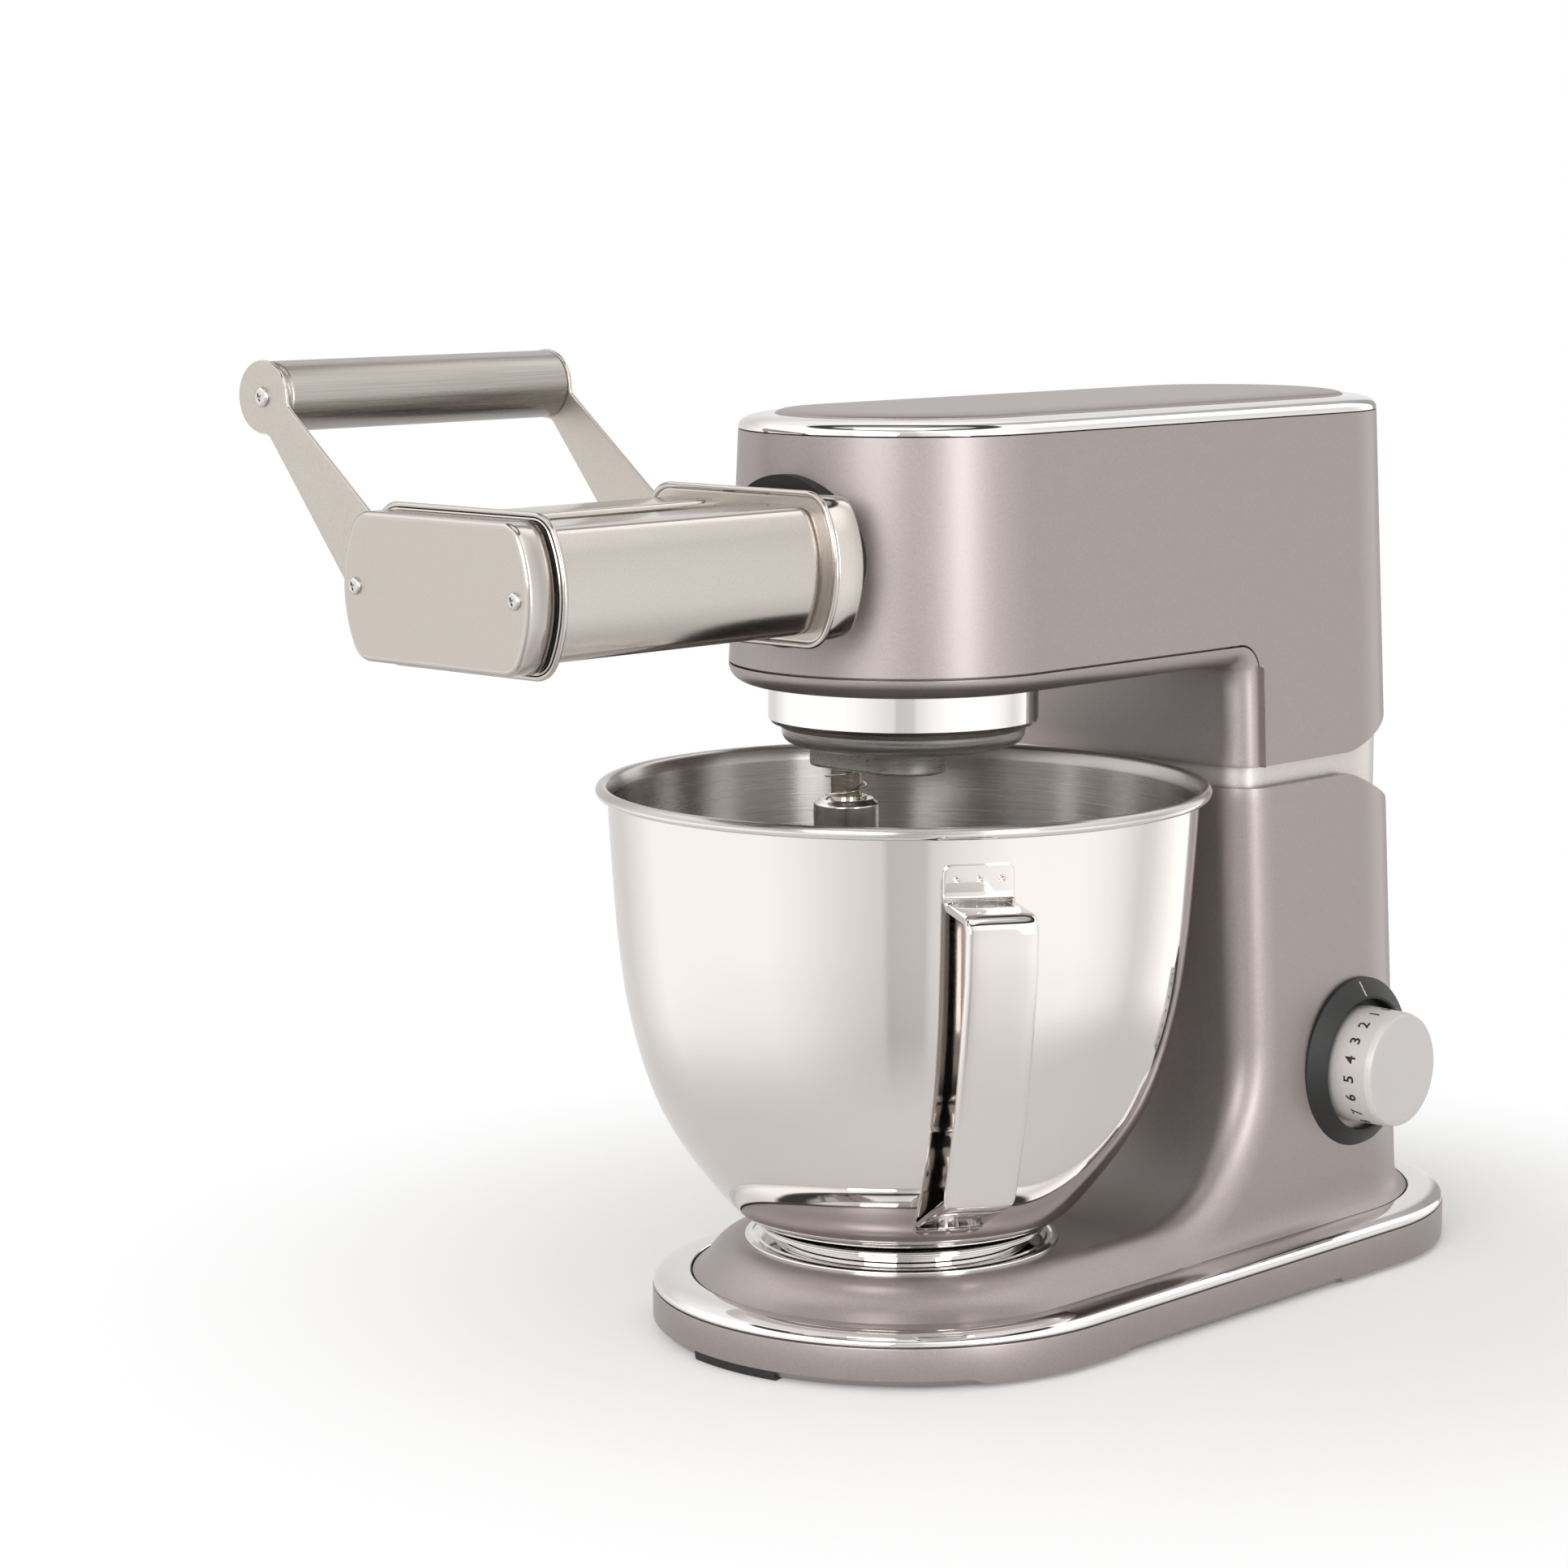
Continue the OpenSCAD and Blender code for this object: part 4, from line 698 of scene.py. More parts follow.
def head_shell():
    """Sides and rear of the head and its leg, as one skin."""
    corner_y, corner_z = SEAM_Y - SEAM_CORNER, SEAM_Z - SEAM_CORNER
    bends = [corner_y + SEAM_CORNER * sin(radians(a)) for a in range(0, 91, 10)]
    places = stations([126] + bends + [140, 197, 198, 199, 200.5])

    def seam(y):
        if corner_y < y < SEAM_Y:
            return corner_z + sqrt(SEAM_CORNER ** 2 - (y - corner_y) ** 2)
        return SEAM_Z if y <= corner_y else corner_z

    def wall(some, radius, low, high, shares):
        rows = []
        for share in shares:
            row = []
            for cy, dx, dy in some:
                foot = low(cy + radius * dy)
                z = foot + (high - foot) * share
                row.append((body_r(z) * dx, cy + body_r(z) * dy, z))
            rows.append(row)
        return rows

    behind = [p for p in places if p[0] + 66 * p[2] > SEAM_Y - 0.001]
    shares = (0.0, 0.02, 0.25, 0.5, 0.75, 0.98, 1.0)
    form = Form().skin(wall(places, 66, seam, HEAD_SEAM - 0.1, shares), around=True)
    return form.skin(wall(behind, 70, leg_low, corner_z, (0.0, 0.04, 0.5, 1.0)))


def head_under():
    """Underside of the head and front of its leg, up to the seam with the shell."""
    gap, bend = 0.8, 3.0
    first, last = 4, 13    # places on the path between which underside turns into leg
    path = [(y, UNDER_Z, 0.0, 1.0) for y in (0, 1, 60, LEG_Y - bend - 1)]
    for step in range(0, 91, 10):
        a, b = sin(radians(step)), cos(radians(step))
        path.append((LEG_Y - bend + bend * a, UNDER_Z - bend + bend * b, a, b))
    path += [(LEG_Y, z, 1.0, 0.0) for z in (246, 230, 216, LEG_Z)]
    rise, leg_rise = SEAM_Z - UNDER_Z - 0.9, 10.4
    form, edge = round_cast(
        path, body_r, 13.0, lambda j: rise + (leg_rise - rise) * share_of(j, first, last))
    # From the rounded edge to the seam with the shell
    seam = []
    for j, row in enumerate(edge):
        y, z = row[-1][1:]
        t = radians(90 * share_of(j, first, last))
        if j > first:
            y = SEAM_Y - SEAM_CORNER + (SEAM_CORNER - gap) * sin(t)
        if j < last:
            z = SEAM_Z - SEAM_CORNER + (SEAM_CORNER - gap) * cos(t)
        seam.append([row[-1], (body_r(z), y, z)])
    form.join(Form().skin(seam).mirror())
    return form.skin([[(x, y, z) for x, y in arc(0, 0, body_r(z), 180, 360, 72)]
                      for z in (UNDER_Z + rise, SEAM_Z - gap)])


TOP_W = 14.0
COVER_R = HEAD_R - TOP_W - 0.2


def top_ring():
    """The bright ring round the top of the head."""
    r, low = HEAD_R - TOP_W, HEAD_SEAM + 0.4
    return long_ring(bow(r, TOP_W, low, 5.6)
                     + [(r + 0.3, HEAD_SEAM + 5.95), (r, HEAD_SEAM + 5.6), (r, HEAD_SEAM + 1.5),
                        (HEAD_R - 2.6, low)])


def top_cover():
    """The slightly domed lacquered cover inside that ring."""
    z, flat = HEAD_SEAM + 6, COVER_R - 12
    places = stations()
    form = Form().skin([hoop(places, COVER_R - inset, z + up) for inset, up in (
        (0, -1.6), (0, -0.2), (0.2, 0.25), (1, 0.8), (2.6, 1.25), (5, 1.6), (8.4, 1.9), (12, 2.0))],
        around=True)
    form.cap(lambda inset: hoop(places, flat - inset, z + 2))
    return form.cap(lambda inset: hoop(places, COVER_R - inset, z - 1.6))


DRIVE_Z = 307.0
NOSE_R = 32.5
piece("head_casing", head_shell(), "head", LACQUER, ["head_shell"], wall=2.6,
      edge=0.35, holes=[disc(NOSE_R - 1, 40, 90).move(about_y(0, 0, DRIVE_Z))],
      true_normal=head_normal)
HUB_R = 52.6
piece("head_underside_and_leg", head_under(), "head", LACQUER, ["head_underside"],
      wall=2.6, edge=0.35, crease=35,
      holes=[disc(HUB_R - 2.3, 246, 268, 96)])
piece("head_ring", top_ring(), "head", CHROME, ["head_trim"], crease=40)
piece("head_top", top_cover(), "head", LACQUER, ["head_cover"])


# ---- the bowl ----

RIM_R, ROLL_R, RIM_Z = 120.0, 2.4, 214.0
SHEET = 1.2
BOWL_SIDE = [(57.0, 41.8), (66.0, 48.3), (74.2, 57.0), (86.6, 73.6), (96.2, 90.5), (103.3, 110.0),
             (108.4, 132.0), (111.6, 156.0), (113.5, 180.0), (114.8, 200.0), (115.3, 210.5)]


def bowl():
    """The bowl as one sheet with a rolled rim: polished outside, brushed inside."""
    outside = smooth_line(BOWL_SIDE)
    roll = arc(RIM_R - ROLL_R, RIM_Z, ROLL_R, -165, 165, 22)
    form = turned([(0, 41.8)] + outside + roll[:12], 192)
    inside = [(r - SHEET, z + (0.9 if i < 6 else 0.4)) for i, (r, z) in enumerate(outside)]
    return form.join(turned(roll[11:] + inside[::-1] + [(50.0, 43.2), (0, 43.0)], 192, finish=1))


def foot_ring():
    """The stepped foot under the bowl."""
    return turned(rounded([
        (46, 41.7), (57.0, 41.7, 0.2), (57.2, 41.0, 0.3), (56.4, 40.6, 0.1), (56.6, 40.1, 0.2),
        (54.6, 39.5, 0.5), (50.0, 39.3, 0.3), (50.0, 38.7, 0.2), (49.4, 38.2, 0.5),
        (49.4, 36.6, 0.2), (48.8, 36.4), (47.6, 36.4), (47.6, 39.6), (46, 39.6)]), closed=True)


def socket_plate():
    """The plate that the bowl's foot locks on, with a collar and three lugs."""
    profile = rounded([(37, 35.0), (62.2, 35.0), (62.2, 36.0, 0.5), (59.6, 36.3, 0.4),
                       (58.8, 35.7, 0.3), (57.6, 35.7, 0.3), (56.8, 36.3, 0.4), (37, 36.3)])
    collar = [(39, 36.2), (44, 36.2), (44, 40.4), (43.6, 40.8), (39, 40.8)]
    form = turned(profile, closed=True).join(turned(collar, closed=True))
    for angle in (30, 150, 270):
        lug = [[(x, y, z) for x, y in ((43, -4), (45.6, -4), (45.6, 4), (43, 4))]
               for z in (37.8, 39.8)]
        form.join(bar(lug).move(swing(angle, "Z")))
    return form


STRAP_TURN = 55.5               # where round the bowl the strap handle stands
STRAP_W, STRAP_T = 27.0, 3.0
PLATE_END_T = 1.4               # thickness of its two ends, which lie on the bowl


def bowl_r(z):
    """Outside radius of the bowl at height z."""
    for (r0, z0), (r1, z1) in zip(BOWL_SIDE, BOWL_SIDE[1:]):
        if z <= z1:
            return r0 + (r1 - r0) * (z - z0) / (z1 - z0)
    return BOWL_SIDE[-1][0]


def strap():
    """The strap handle: a crowned band whose thinner ends are welded flat on the bowl."""
    lift = STRAP_T / 2 + 0.1
    out = [(150 - lift, 186.8, 4.8), (146.8, 165.0), (141.2, 140.0), (133.6, 112.0),
           (120 - lift, 77.2, 7.0)]
    upper = [(bowl_r(z) + 0.7, z)
             for z in (202.0, 201.9, 201.6, 201.2, 200.7, 200.2, 199.6, 199.0)]
    lower = [(bowl_r(60) + 1.5, 59.0, 3.5), (bowl_r(55) + 0.7, 55.5), (bowl_r(52.5) + 0.7, 53.0)]
    line = rounded(upper + [(bowl_r(188) + 0.9, 187.2, 5.0)] + out + lower, n=10)
    run = [0.0]
    for a, b in zip(line, line[1:]):
        run.append(run[-1] + hypot(b[0] - a[0], b[1] - a[1]))
    rows = []
    for i, (r, z) in enumerate(line):
        along = way_along(line, i)
        # The ends are rounded off in plan
        nip = 3.0
        from_end = min(run[i], run[-1] - run[i], nip)
        half = STRAP_W / 2 - nip + sqrt(nip * nip - (nip - from_end) ** 2)
        # Thin plate on the bowl (0), full strap between (1)
        full = min(share_of(run[i], 13, 18), share_of(run[-1] - run[i], 8, 13))
        thick = PLATE_END_T + (STRAP_T - PLATE_END_T) * full
        # Rounded edges, and on the full strap a face that falls away towards them
        edge_r = 0.6 + 0.9 * full
        corners = rounded([(-half, -thick / 2, 0.6), (half, -thick / 2, 0.6),
                           (half, thick / 2, edge_r), (-half, thick / 2, edge_r)], closed=True)
        section = []
        for p, q in zip(corners, corners[1:] + corners[:1]):
            section.append(p)
            if abs(q[0] - p[0]) > 4:
                section += [(p[0] + (q[0] - p[0]) * share, p[1]) for share in
                            (0.03, 0.08, 0.16, 0.33, 0.5, 0.67, 0.84, 0.92, 0.97)]
        row = []
        for u, v in section:
            hug = (r - sqrt(r * r - u * u)) * (1 - full)
            if v > 0:
                v += 0.9 * full * (1 - (u / half) ** 6)
            row.append((u, -(r - along.y * v - hug), z + along.x * v))
        rows.append(row)
    form = bar(rows)
    # Spot welds: a low ring round a shallow dimple
    weld = ((0, 0.04), (0.35, 0.06), (0.75, 0.3), (1.05, 0.34), (1.3, 0.2), (1.5, -0.1))
    for z, size in ((197.0, 1.0), (54.8, 0.6)):
        lean = atan2(bowl_r(z + 1) - bowl_r(z - 1), 2)
        r = bowl_r(z) + PLATE_END_T * cos(lean)
        for u in (-8.5, 0.0, 8.5):
            spot = turned([(out * size, up * size * size) for out, up in weld], 24)
            form.join(spot.move(shift(u, -sqrt(r * r - u * u), z - PLATE_END_T * sin(lean))
                                @ swing(90 + degrees(lean), "X")))
    return form.move(swing(STRAP_TURN, "Z"))


piece("mixing_bowl_shell", bowl(), "mixing_bowl", [MIRROR, BRUSHED], ["bowl"])
piece("mixing_bowl_foot", foot_ring(), "mixing_bowl", MIRROR, ["bowl_foot"])
piece("bowl_strap", strap(), "mixing_bowl", MIRROR, ["bowl_handle"])
piece("socket_plate", socket_plate(), "stand", CHROME, ["bowl_socket"])


# ---- planetary drive under the head ----

ORBIT, HUB_Z = 30.0, 240.5       # the tool shaft's distance out, and the hub's lower edge
COLLAR_TOP = HUB_Z - 33.5


def hub_band():
    """The bright band round the planetary hub."""
    inner, top = HUB_R - 2.4, UNDER_Z + 1.5
    return turned(rounded([(inner, top), (inner, HUB_Z + 0.6), (HUB_R - 2.0, HUB_Z),
                           (HUB_R - 0.9, HUB_Z, 0.6), (HUB_R, HUB_Z + 1.6, 1.2), (HUB_R, top)]),
                  closed=True)


def dish():
    """The planetary carrier: a stepped dish and the arm that the tool shaft turns in."""
    top, floor_z = HUB_Z - 0.3, HUB_Z - 9.5
    profile = [(0, top)] + rounded([
        (48.9, top, 0.3), (47.8, HUB_Z - 1.8, 0.8), (46.8, HUB_Z - 7.4, 5.0),
        (39.0, floor_z, 5.0), (30.0, floor_z)], n=10) + [(0, floor_z)]

    def lobe(inset):
        r0, r1 = 16.5 - inset, 14.5 - inset
        lean = degrees(acos((r0 - r1) / ORBIT))
        return arc(0, 0, r0, lean, 360 - lean, 40) + arc(ORBIT, 0, r1, -lean, lean, 36)

    low, ease = HUB_Z - 20.2, 1.2
    steps = [(2.2, low), (ease, low)]
    steps += [(ease * (1 - sin(radians(a))), low + ease * (1 - cos(radians(a))))
              for a in (15, 30, 45, 60, 75, 90)]
    steps += [(0.0, HUB_Z - 10.0), (-0.5, HUB_Z - 9.3), (0.0, HUB_Z - 8.8)]
    arm = bar([[(-x, y, z) for x, y in lobe(inset)] for inset, z in steps])
    return turned(profile).join(arm)


def tool_pin():
    """The tool shaft with its cross pin."""
    low, top, cross = HUB_Z - 68.5, HUB_Z + 11, 9.5
    profile = [(0, low)] + rounded([(5.2, low), (6.0, low + 0.9, 0.3), (6.0, low + 14, 0.1),
                                    (6.2, low + 14.2, 0.1), (6.2, top)]) + [(0, top)]
    pin = [(0, -cross)] + rounded([(1.2, -cross, 0.2), (1.6, -9.1, 0.2), (1.6, 9.1, 0.2),
                                   (1.2, cross, 0.2)]) + [(0, cross)]
    form = turned(profile, 64).join(turned(pin, 28).move(about_x(0, 0, low + 20)))
    return form.move(shift(-ORBIT, 0, 0))


def tool_spring():
    """The spring over the tool's collar, and the washer it bears on."""
    low, high, top = COLLAR_TOP + 0.6, HUB_Z - 21.6, HUB_Z - 20.3
    r, wire, laps, steps, sides = 7.9, 0.45, 2.6, 40, 12
    section = arc(0, 0, wire, 0, 360, sides)[:-1]
    rows = []
    for i in range(int(laps * steps) + 1):
        t = 2 * pi * i / steps
        # The end turns lie flat, as ground spring ends do
        z = low + (high - low) * share_of(i / steps, 0.55, laps - 0.55)
        rows.append([((r + out) * cos(t), (r + out) * sin(t), z + up) for out, up in section])
    washer = rounded([(6.4, top - 0.9), (8.4, top - 0.9, 0.3), (8.4, top, 0.3), (6.4, top)])
    return bar(rows).join(turned(washer, 64, closed=True)).move(shift(-ORBIT, 0, 0))


def tool_collar():
    """The collar that a tool's hub bears on, hollow below."""
    top = COLLAR_TOP
    profile = rounded([(6.3, top), (10.8, top, 0.2), (11.2, top - 0.5, 0.3), (13.0, top - 1.9, 1.6),
                       (13.0, top - 18.5, 0.5), (12.4, top - 19, 0.3), (10.2, top - 19),
                       (10.2, top - 13), (6.3, top - 13)])
    return turned(profile, 96, closed=True).move(shift(-ORBIT, 0, 0))


# The same machine steel, with its rings round the tool's own axis, and the finely turned and
# matt dish, which softens the dark bowl that it looks down into.
SHAFT = machined("ground_tool_shaft", "CFC8BA", 0.2, "Z", (-ORBIT, 0.0))
COLLAR = machined("turned_tool_collar", "CFCBC8", 0.16, "Z", (-ORBIT, 0.0))
TURNED = machined("turned_planetary_casting", "E4E2E0", 0.3, "Z")
piece("hub_band", hub_band(), "head", CHROME, ["hub_collar"])
piece("planetary_dish", dish(), "planetary", TURNED, ["planet_carrier"], crease=40)
piece("tool_pin_shaft", tool_pin(), "tool", SHAFT, ["tool_shaft"])
piece("tool_return_spring", tool_spring(), "tool", SHAFT, ["tool_spring"], crease=60)
piece("tool_stop_collar", tool_collar(), "tool", COLLAR, ["tool_collar"])


# ---- speed dial ----

DIAL_Y, DIAL_Z = 200.5, 84.0
DIAL_BASE = body_r(DIAL_Z) + 1.0     # how far out the dial ring's slope starts
DIAL_R = 36.0
KNOB_R, KNOB_FACE = 23.8, 98.7
NUMBER_X, NUMBER_H = 88.6, 4.9       # how far out the numbers stand, and their height
DIAL_AT = about_x(0, DIAL_Y, DIAL_Z)


def dial_bezel():
    """The black ring that the knob turns in."""
    x = DIAL_BASE
    profile = rounded([(4, x - 10), (DIAL_R - 0.1, x - 10), (DIAL_R, x - 0.4, 0.5),
                       (28.4, x + 4.6, 0.7), (27.4, x + 4.1, 0.4), (27.4, x - 1.4), (4, x - 1.4)])
    return turned(profile, 160, closed=True).move(DIAL_AT)


def index_line():
    """The white line on the ring's slope that the numbers are read against."""
    rows = []
    for r in (34.6, 28.9):
        x = DIAL_BASE - 0.4 + (DIAL_R - r) / 7.6 * 5.0 * 0.985
        rows.append([(x + up, DIAL_Y - 1.2 + across, DIAL_Z + r + up) for across, up in
                     ((-0.28, -0.1), (0.28, -0.1), (0.28, 0.14), (-0.28, 0.14))])
    return bar(rows)


def knob():
    """The speed knob, with a shallow dish in its face."""
    x, back, step = KNOB_FACE, DIAL_BASE - 15, DIAL_BASE - 1.1
    rim = rounded([(3, step), (24.4, step, 0.3), (KNOB_R + 0.1, x - 2.6, 3.0),
                   (KNOB_R - 0.6, x - 0.2, 1.0), (KNOB_R - 2.2, x, 1.0), (KNOB_R - 6, x - 0.05),
                   (10, x - 0.4)])
    return turned([(0, back), (3, back)] + rim + [(0, x - 0.45)], 160).move(DIAL_AT)


def dial_number(text, turn):
    """A number printed round the knob, its top towards the machine."""
    words = bpy.data.curves.new("number", "FONT")
    words.body, words.extrude, words.resolution_u = text, 0.01, 4
    words.offset = 0.016
    holder = bpy.data.objects.new("number", words)
    bpy.context.scene.collection.objects.link(holder)
    bpy.context.view_layer.update()
    flat = bpy.data.meshes.new_from_object(
        holder.evaluated_get(bpy.context.evaluated_depsgraph_get()))
    xs, ys = [v.co.x for v in flat.vertices], [v.co.y for v in flat.vertices]
    mid_x, mid_y = (min(xs) + max(xs)) / 2, (min(ys) + max(ys)) / 2
    size = NUMBER_H / (max(ys) - min(ys))
    form = Form()
    for v in flat.vertices:
        r = KNOB_R + 0.25 + (0.13 if v.co.z > 0 else -0.3)
        t = radians(turn) - (v.co.x - mid_x) * size / r
        form.points.append((NUMBER_X - (v.co.y - mid_y) * size,
                            DIAL_Y - r * sin(t), DIAL_Z + r * cos(t)))
    form.faces = [tuple(p.vertices) for p in flat.polygons]
    form.finishes = [0] * len(form.faces)
    bpy.data.objects.remove(holder)
    bpy.data.curves.remove(words)
    return form


numbers = Form()
for k in range(9):
    numbers.join(dial_number(str(k), -4 + 19.5 * k))
piece("dial_bezel", dial_bezel(), "stand", BLACK, ["dial_ring"])
piece("dial_index_line", index_line(), "stand", WHITE_INK)
piece("speed_dial_knob", knob(), "dial", KNOB, ["speed_knob"])
piece("dial_numbers", numbers, "dial", DARK_INK, crease=60)


# ---- pasta rollers ----

AXIS_Z = DRIVE_Z + 0.5
OUTER_Y, INNER_Y, PLATE_T = -229.4, -91.0, 1.5
COVER_BACK = OUTER_Y - 2.1
COVER_FRONT = COVER_BACK - 12.0
FAR_COVER = INNER_Y + 2.1
COVER_H, COVER_EDGE = 26.4, 2.2     # half the covers' height, and the radius of their edges
COWL_IN = 3.5                       # how far the cowls stand inside the covers' outline
SCREW_X = 40.8
NUT_H = 1.8


def end_outline(out=0.0):
    """Outline of the end covers, grown by out: bowed sides, flat top and bottom, round corners."""
    hw, hh, r = 48.0 + out, COVER_H + out, 9.0 + out
    cy = hh - r
    cx = sqrt((hw - r) ** 2 - cy ** 2)
    a = degrees(atan2(cy, cx))
    flat = [cx - 0.8, cx / 3, -cx / 3, 0.8 - cx]
    return (arc(0, 0, hw, -a, a, 28) + arc(cx, cy, r, a, 90, 12)[1:] + [(x, hh) for x in flat]
            + arc(-cx, cy, r, 90, 180 - a, 12) + arc(0, 0, hw, 180 - a, 180 + a, 28)[1:]
            + arc(-cx, -cy, r, 180 + a, 270, 12)[1:] + [(-x, -hh) for x in flat]
            + arc(cx, -cy, r, 270, 360 - a, 12)[:-1])


def upright(outline, y):
    """An outline stood up at y round the rollers' axis."""
    return [(x, y, AXIS_Z + z) for x, z in outline]


def levels(rows):
    """The end covers' outline at each (growth, y)."""
    return [upright(end_outline(out), y) for out, y in rows]


def flange(y0, bead_at):
    """A flat end plate whose edge is rolled to a bead."""
    out, r = 2.6, 1.25
    flat, inner = out - 2 * r, out - 2 * r - 0.6
    y1 = y0 + PLATE_T
    edge = arc(out - r, bead_at, r, -130, 130, 16)
    form = Form().skin(levels([(inner, y0), (flat, y0)] + edge + [(flat, y1), (inner, y1)]),
                       around=True, finish=1)
    for y in (y0, y1):
        form.cap(lambda inset, y=y: upright(end_outline(inner - inset), y))
    return form


def near_cover():
    """The shallow pressed cover over the near gears: blasted face, polished edge."""
    r = COVER_EDGE
    rows = levels([(-r - 1.5, COVER_FRONT)] + arc(-r, COVER_FRONT + r, r, -90, 0, 9)
                  + [(0.0, COVER_BACK - 0.3), (-0.25, COVER_BACK), (-0.75, COVER_BACK),
                     (-1.0, COVER_BACK - 0.3), (-1.0, COVER_FRONT + r), (-r, COVER_FRONT + 1.0)])
    form = Form().skin(rows[:2], around=True).skin(rows[1:], around=True, finish=1)
    return form.face(rows[0]).face(rows[-1])


def far_cover():
    """The cover over the drive gears, open towards the far end plate."""
    back, r = FAR_COVER + 14.0, COVER_EDGE
    outside = levels([(-1.0, FAR_COVER + 0.3), (-0.75, FAR_COVER), (-0.25, FAR_COVER),
                      (0.0, FAR_COVER + 0.3)] + arc(-r, back - r, r, 0, 90, 9)
                     + [(-r - 1.5, back)])
    inside = levels([(-1.0, FAR_COVER + 0.3), (-1.0, back - r), (-r, back - 1.0)])
    form = Form().skin(outside, around=True, finish=1).face(outside[-1])
    return form.skin(inside, around=True).face(inside[-1])


def cowl():
    """Bent sheet between the end plates, with lips folded down along the slots."""
    half_t, high, lip_x, bend_x = 0.5, COVER_H - COWL_IN, 12.5, 17.0
    # From below the top slot, round the side, and to the bottom slot
    side = [p for p in end_outline(-COWL_IN) if p[0] > bend_x + 0.2]
    side.sort(key=lambda p: -atan2(p[1], p[0] - 8.0))
    lip = rounded([(lip_x, 17.2), (lip_x, high, 1.7), (bend_x, high)], n=8)[:-1]
    middle = lip + side + [(x, -z) for x, z in lip[::-1]]
    outer, inner = [], []
    for i, (x, z) in enumerate(middle):
        along = way_along(middle, i) * half_t
        outer.append((x - along.y, z + along.x))
        inner.append((x + along.y, z - along.x))
    y0, y1 = OUTER_Y + PLATE_T, INNER_Y - PLATE_T
    form = bar([upright(outer + inner[::-1], y) for y in (y0, y0 + 0.5, y1 - 0.5, y1)])
    # Small weld beads at the ends
    for z, over in ((23.2, 0), (-23.2, 180)):
        for y in (y1 - 3, y0 + 3):
            dome = turned([(0, 0.42)] + [(0.8 * sin(radians(a)), 0.42 * cos(radians(a)))
                                         for a in (25, 50, 75, 90)], 16, finish=1)
            form.join(dome.move(shift(18.0, y, AXIS_Z + z) @ swing(over, "X")))
    return form


def screw_head(r=3.1, high=1.7):
    """A domed head that stands on z = 0."""
    dome = [(r * cos(radians(a)), 0.35 + (high - 0.35) * sin(radians(a))) for a in range(8, 90, 8)]
    return turned([(0, -0.4), (r - 0.1, -0.4), (r, 0.25)] + dome + [(0, high)], 48)


def cross_slot(way, high=1.7):
    """The two tapered slots that are cut into a screw head."""
    slots = []
    for angle in (20, 110):
        low = [(-0.9, -0.3), (0.9, -0.3), (0.9, 0.3), (-0.9, 0.3)]
        slot = bar([[(x, y, high - 1.3) for x, y in low],
                    [(x * 2.1, y * 1.5, high + 0.4) for x, y in low]])
        slots.append(slot.move(way @ swing(angle, "Z")))
    return slots


def shank(x, z, y0, y1, r=2, n=32):
    """A plain pin along Y."""
    long = y1 - y0
    return turned([(0, 0), (r - 0.2, 0), (r, 0.2), (r, long - 0.2), (r - 0.2, long), (0, long)],
                  n).move(about_y(x, y1, z))


def screw_pair(x, z, head, tip, nut_tip, nut_end, nut, r=3.1, high=1.7):
    """A screw at the near end and a domed nut at the far end, with shanks from head to tip and
    from nut_tip to nut_end. Returns them and the screw's slots."""
    way = about_y(x, head, z)
    form = screw_head(r, high).move(way)
    form.join(shank(x, z, head + 0.6, tip)).join(shank(x, z, nut_tip, nut_end))
    form.join(screw_head(r, NUT_H).move(shift(x, nut, z) @ swing(-90, "X")))
    return form, cross_slot(way, high)


def cover_screws():
    """The screws that hold the gear covers and carry the handle."""
    form, slots = Form(), []
    for x in (-SCREW_X, SCREW_X):
        pair, cross = screw_pair(x, AXIS_Z, COVER_FRONT, OUTER_Y + 4.5, INNER_Y - 4.5,
                                 FAR_COVER + 13.5, FAR_COVER + 14)
        form.join(pair)
        slots += cross
    return form, slots


turned_over = shift(0, 0, AXIS_Z) @ swing(180, "Y") @ shift(0, 0, -AXIS_Z)
for name, form, coatings, solid, crease in (
        ("near_flange", flange(OUTER_Y, OUTER_Y + 1.25), [BLASTED, EDGE], "outer_flange", 30),
        ("far_flange", flange(INNER_Y - PLATE_T, INNER_Y - 1.35), [BLASTED, EDGE],
         "inner_flange", 30),
        ("near_gear_cover", near_cover(), [BLASTED, EDGE], "outer_cover", 40),
        ("far_gear_cover", far_cover(), [BLASTED, SATIN], "inner_cover", 40),
        ("dial_side_cowl", cowl(), [SATIN, EDGE], "front_cowl", 30),
        ("handle_side_cowl", cowl().move(turned_over), [SATIN, EDGE], "rear_cowl", 30)):
    piece(name, form, "attachment", coatings, [solid], crease=crease)
heads, slots = cover_screws()
piece("gear_cover_screws", heads, "attachment", GROUND, ["cover_screws"],
      holes=slots)


# ---- lifting handle ----

ARM_LEN, ARM_ANGLE, ARM_T = 89.9, 44.8, 1.5
ARM_NECK, ARM_FOOT = 7.65, 16.0     # half its width at the eye, and the radius of its foot
TUBE_R, EYE_R = 12.8, 13.3
EYE_X = -SCREW_X - ARM_LEN * cos(radians(ARM_ANGLE))
EYE_Z = AXIS_Z + ARM_LEN * sin(radians(ARM_ANGLE))
TUBE_Y0, TUBE_Y1 = OUTER_Y - 0.3, INNER_Y + 0.3


